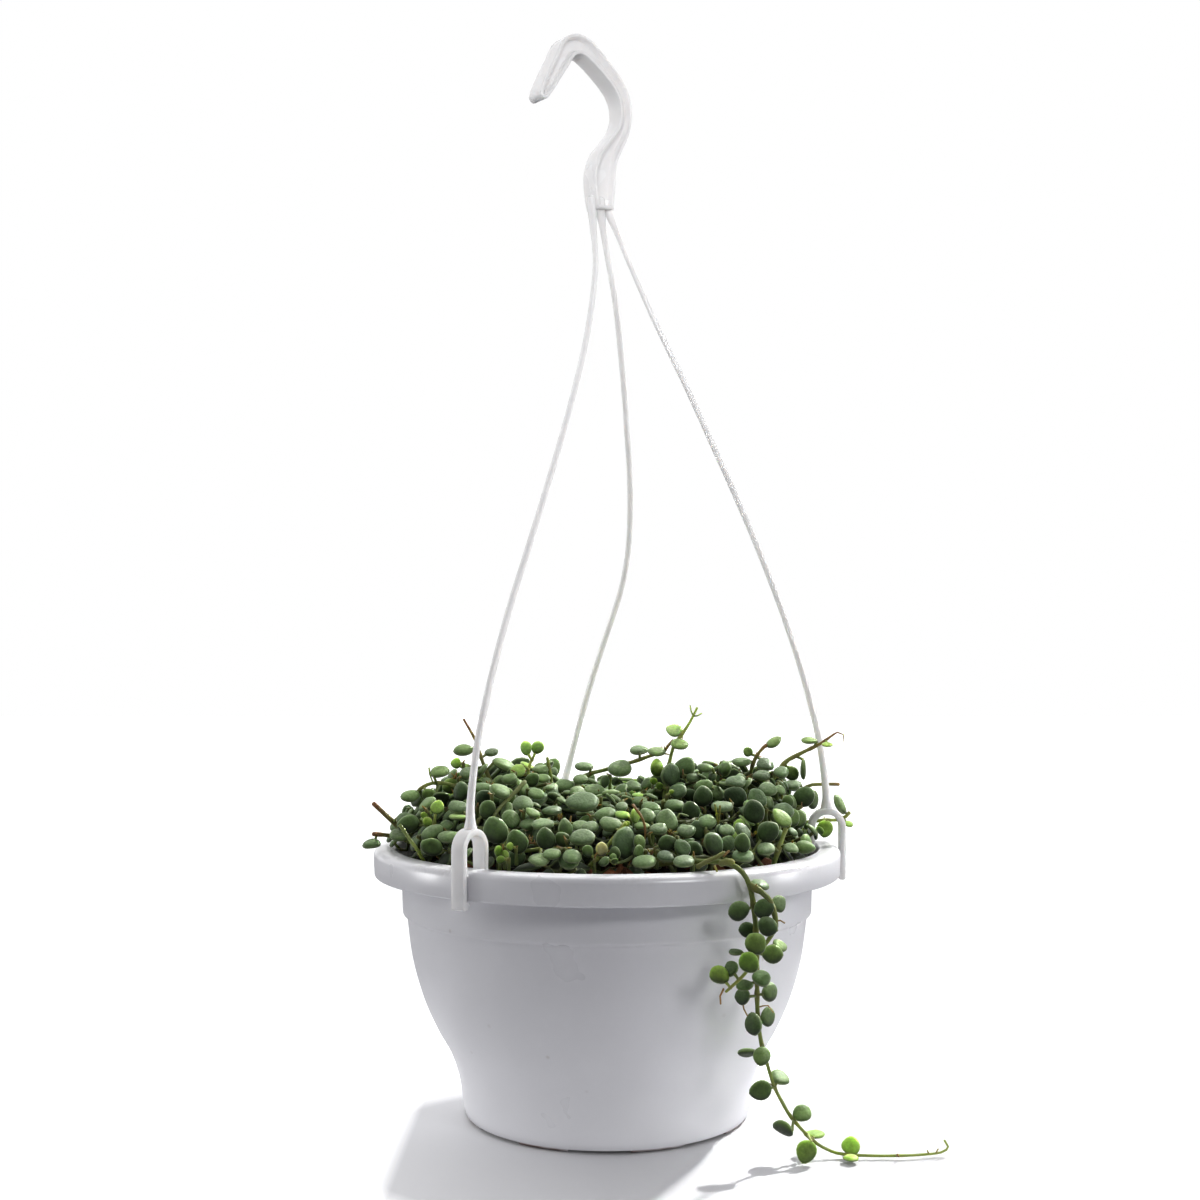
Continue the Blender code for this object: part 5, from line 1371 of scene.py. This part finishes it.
def place_front(room, views, stems):
    """The leaves of the mound's front, each on a short twig from the nearest stem."""
    samples = np.array([p for stem in stems for p in smooth_points(stem, 3)])
    front = Growth("front_sprigs", FRONT_SEED, fine=True)
    rng = front.rng
    for *place, radius in FRONT_GAPS:
        gap = np.array(place)
        views.add(prism_points(gap, gap + unit(VIEWER - gap) * max(50, gap[1] + 95), radius), PRISM_FACES)
    for x, y, z, length, facing, youth in FRONT_LEAVES:
        facing = np.array(facing, float)
        for nudge in SEEN_NUDGES:
            centre = np.array((x, y + nudge, z))
            start = hangs_from(samples, centre)
            if room.is_clear(leaf_points(start, centre, length, facing, -0.25)):
                break
        along, _, _ = leaf_axes(start, centre, facing)
        node = centre - along * (length / 2 + 1.2)
        room.add(leaf_points(start, centre, length, facing, -0.1))
        keep_open(views, centre, length)
        apart = np.linalg.norm(start - node)
        if apart > 8:
            start = node + (0, 3, -7)
        if apart > 1.5:
            middle = (start + node) / 2 + (0, 1, -0.8)
            front.add_stem([start, middle, node], [node], 0.2, 0.8, 0.6, tone_and_shade=0.3)
        front.add_leaf(node, centre, length, facing, youth)
        if rng.uniform() < 0.4:
            front.add_peg(node, (rng.normal(0, 0.7), -0.6, 0.8), rng.uniform(1.5, 3.2), 0.5, 0.8, 0.8)
    for place in TUFTS:
        for _ in range(5):
            out = rng.normal(0, 0.7, 3) + (0, -0.4, 1)
            brown = rng.uniform(0.5, 1)
            front.add_peg(np.array(place) - (0, 0, 1.5), out, rng.uniform(2, 3.6), 0.42, 0.8, brown)
    for route, thick, youth, brown in BARE_STEMS:
        front.add_stem(route, [], youth, thick / 2, thick / 2 * 0.75, brown)
    front.finish("foliage")


def twig_leaves(rng, node, face, outward, sizes, room, views):
    """A pair of leaves at a twig's end, as far as there is room for them."""
    own = Room(4)
    leaves = []
    side = unit(np.cross(face + rng.normal(0, 0.3, 3), rng.normal(0, 1, 3)))
    youth = float(np.clip(rng.normal(0.12, 0.1) + (0.7 if rng.uniform() < 0.05 else 0), 0, 1))
    for hand in (-1, 1):
        for attempt in range(TWIG_TRIES):
            length = rng.uniform(*sizes) * (1 - TRY_SHRINK * attempt)
            out = unit(hand * side + face * rng.uniform(-0.3, 0.9) + rng.normal(0, 0.25, 3) + outward * 0.3)
            facing = face + outward * 0.9 + rng.normal(0, 0.5, 3)
            centre = node + out * (length / 2 + 1.2)
            space = leaf_points(node, centre, length, facing, TAKEN_TWIG)
            low, rim = space[:, 2].min(), math.hypot(centre[0], centre[1])
            if low < MIX_TOP + 1 or rim > RIM_TO or (rim > RIM_FROM and low < RIM_CLEAR):
                continue
            if room.is_clear(space) and own.is_clear(space) and views.is_clear(space):
                leaves.append((node, centre, length, facing, youth))
                own.add(space)
                break
    return leaves


def place_twigs(room, views, stems):
    """Side twigs with a pair of leaves each, which fill the mound under the leaves that show."""
    rng = np.random.default_rng(TWIG_SEED)
    samples = np.array([p for stem in stems for p in smooth_points(stem, 4)])
    twigs = []
    for layer, (targets, sink, sizes) in enumerate(LAYERS):
        for number in range(targets):
            ring = TWIG_REACH * math.sqrt((number + 0.5) / targets)
            angle = number * GOLDEN_TURN + layer
            x, y = ring * math.cos(angle), ring * math.sin(angle)
            front = min(max(-(y + 5) / 50, 0), 1)
            if rng.uniform() < FRONT_THIN * front:
                continue
            z = mound_top(x, y) - sink - (5 if ring > RIM_FROM else 0) - FRONT_SINK * front
            face = mound_facing(x, y)
            outward = np.array((x, y, 0)) / max(ring, 1) * min(ring / TWIG_REACH, 1) ** 2
            node = np.array((x, y, max(z, TWIG_LOWEST))) + rng.normal(0, 1.2, 3)
            gaps = np.linalg.norm(samples - node, axis=1) + 0.8 * np.maximum(samples[:, 2] - node[2], 0)
            start = samples[np.argmin(gaps)]
            if np.linalg.norm(start - node) > LONGEST_TWIG:
                continue
            leaves = twig_leaves(rng, node, face, outward, sizes, room, views)
            if leaves:
                for leaf in leaves:
                    room.add(leaf_points(*leaf[:4], TAKEN_TWIG))
                middle = (start + node) / 2 - face * 1.5 + rng.normal(0, 0.8, 3)
                twigs.append(([start, middle, node], leaves))
    return twigs


def make_trailing_vine(room):
    stems = [rooted_stem(TRAILING_STEM, 9), smooth_points(TRAILING_BRANCH, 9)]
    leaves = placed_leaves(stems, TRAILING_LEAVES, YOUTH["vine_trailing"])
    take_room(stems, leaves, room)
    vine = Growth("trailing_vine", TRAILING_SEED, fine=True)
    vine.dress(stems, leaves, 1.2, ends=(1.2, 0.45, 0.0, 1), tone_and_shade=0.26)
    vine.finish("trailing_foliage", "vine_trailing")


def make_shoots(room, views):
    """The shoots that show by their own shape. Returns their stems."""
    found = []
    for order, (name, (route, table)) in enumerate(SHOOTS.items()):
        ages = YOUTH[name]
        stems = [rooted_stem(route, 12)]
        leaves = placed_leaves(stems, table, ages)
        take_room(stems, leaves, room)
        for _, centre, length, _, _ in leaves:
            keep_open(views, centre, length)
        shoot = Growth(name.replace("shoot", "sprig"), SHOOT_SEED + order, fine=True)
        table = [SEEN_LEAVES.get((name, i), leaf) for i, leaf in enumerate(table)]
        leaves = [tipped(leaf) for leaf in placed_leaves(stems, table, ages)]
        shoot.dress(stems, leaves, 0.3 + max(ages) / 2, STEM_ENDS.get(name, (0.95, 0.65, 0.1, 1)))
        shoot.finish("foliage", name)
        found += stems
    return found


def grow_main_vines(room, shown):
    """The routes and leaves of the solids' own vines."""
    vines = []
    for number in range(MAIN_VINES):
        grown = grow_vine(number, room)
        if grown:
            route, leaves = grown
            take_room([route], leaves, room)
            take_room([route], [], shown)
            vines.append(grown)
    return vines


def make_main_vines(vines, shown, views):
    """The solids' own vines, without the leaves that would hide what shows at the front."""
    for number, (route, leaves) in enumerate(vines, 1):
        hidden = [leaf for leaf in leaves if is_hidden(leaf, views)]
        kept = [leaf for leaf in hidden if shown.is_clear(leaf_points(*leaf[:4], -0.2))]
        for leaf in kept:
            shown.add(leaf_points(*leaf[:4], TAKEN_TWIG))
        vine = Growth(f"creeping_vine_{number:02d}", VINE_SEED + number)
        # Stems in the mound get a low tone, which darkens them as painted shade.
        vine.dress([route], kept, tone_and_shade=0.1)
        vine.finish("foliage", f"vine_{number:02d}")


def make_fill(shown, views, stems):
    """More vines and twigs between them, which fill the mound, in a piece for each quarter of it."""
    quarters = [Growth("mound_vines_" + name, FILL_SEED + i) for i, name in enumerate(QUARTERS)]

    def quarter_of(place):
        turn = (math.atan2(place[1], place[0]) + 3 * math.pi / 4) % math.tau
        return quarters[int(turn / (math.pi / 2)) % 4]

    for number in range(MAIN_VINES, MAIN_VINES + EXTRA_VINES):
        grown = grow_vine(number, shown, EXTRA_VINES)
        if grown:
            route, leaves = grown
            leaves = [leaf for leaf in leaves if is_hidden(leaf, views)]
            take_room([route], leaves, shown)
            # Stems in the mound get a low tone, which darkens them as painted shade.
            quarter_of(route[-1]).dress([route], leaves, tone_and_shade=0.1)
            stems.append(route)
    for route, leaves in place_twigs(shown, views, stems):
        end = route[-1]
        growth = quarter_of(end)
        rng = growth.rng
        # Twig stems get a low tone too, which darkens them as painted shade.
        growth.add_stem(route, [end], 0.1, 0.75, 0.6, tone_and_shade=0.15)
        for leaf in leaves:
            growth.add_leaf(*leaf)
        chance = rng.uniform()
        if chance < 0.2:
            growth.add_peg(end, rng.normal(0, 0.6, 3) + (0, 0, 0.8), rng.uniform(1.5, 3))
        elif chance < 0.24:
            growth.add_young_tip(end, mound_facing(end[0], end[1]))
    for growth in quarters:
        growth.finish("foliage")


def make_plant():
    room, views = Room(), Room()
    for name in ("pot", "potting_mix", "hanger_hook", *named("strand"), *named("clip")):
        room.add_solid(name)
    make_trailing_vine(room)
    stems = make_shoots(room, views)
    shown = room.copy()
    vines = grow_main_vines(room, shown)
    stems += [route for route, _ in vines]
    place_front(shown, views, stems)
    make_main_vines(vines, shown, views)
    make_fill(shown, views, stems)


# ---------------------------------------------------------------- studio


WHITE = (1.0, 1.0, 1.0)
# Each lamp: place, target, size and power in metres and watts, colour, and spread in degrees.
LAMPS = {
    "back_key": ((1.40, 1.58, 1.80), (0.02, -0.03, 0.05), 0.12, 0.8, (1.0, 0.99, 0.97), 16),
    "front_fill": ((0.96, -1.33, 0.94), (0, 0, 0.1), 0.38, 6.9, WHITE, 180),
    "hanger_light": ((-0.10, -0.60, 0.40), (0, 0, 0.40), 0.06, 0.12, WHITE, 50),
    "left_light": ((-1.2, 0.05, 0.03), (0, 0, 0.03), 0.3, 0.065, WHITE, 20),
    "right_light": ((1.2, 0.05, 0.03), (0, 0, 0.03), 0.3, 0.075, WHITE, 20),
}
CAMERA_LENS, CAMERA_SENSOR, CAMERA_SHIFT = 47.1, 36, 50 / 1200
PICTURE_GAMMA = 0.88


def make_floor():
    floor = start_piece("plane", "studio_floor", size=8, location=(0, 0, -0.0002))
    settle(floor)
    floor.data.materials.append(make_floor_finish())


def make_world():
    """White seen straight on. As light, it is bright behind the pot and dimmer in front of it."""
    world = bpy.data.worlds.new("studio_surround")
    bpy.context.scene.world = world
    world.use_nodes = True
    sky = Nodes(world.node_tree)
    x, y, z = sky.split(sky.add("TexCoord").outputs["Generated"])
    aside = sky.maths("MAXIMUM", sky.times(x, -1.15), sky.times(x, 1.0))
    behind = sky.maths("MULTIPLY_ADD", y, 0.9, aside)
    back = sky.maths("MULTIPLY_ADD", z, 0.3, behind, clamp=True)
    light = sky.blend(back, (0.03, 0.03, 0.04), (1.25, 1.25, 1.25))
    background = sky.tree.nodes["Background"]
    sky.fill(background.inputs["Color"], sky.blend(sky.is_seen(), light, WHITE))


def add_lamps():
    for name, (place, target, size, power, colour, spread) in LAMPS.items():
        lamp = bpy.data.lights.new(name, "AREA")
        lamp.shape = "DISK"
        lamp.size = size
        lamp.energy = power
        lamp.color = colour
        lamp.spread = math.radians(spread)
        holder = link_new(name, lamp)
        holder.location = place
        holder.rotation_euler = (Vector(target) - Vector(place)).to_track_quat("-Z", "Y").to_euler()
        holder.visible_camera = False


def add_camera():
    camera = bpy.data.cameras.new("camera")
    camera.lens = CAMERA_LENS
    camera.sensor_width = CAMERA_SENSOR
    camera.shift_y = CAMERA_SHIFT
    view = link_new("camera", camera)
    view.location = VIEWER * MM
    view.rotation_euler = (math.radians(90), 0, 0)
    scene = bpy.context.scene
    scene.camera = view
    scene.view_settings.view_transform = "Standard"
    scene.view_settings.gamma = PICTURE_GAMMA


make_pot()
make_mix()
make_hanger()
make_plant()
make_floor()
make_world()
add_lamps()
add_camera()
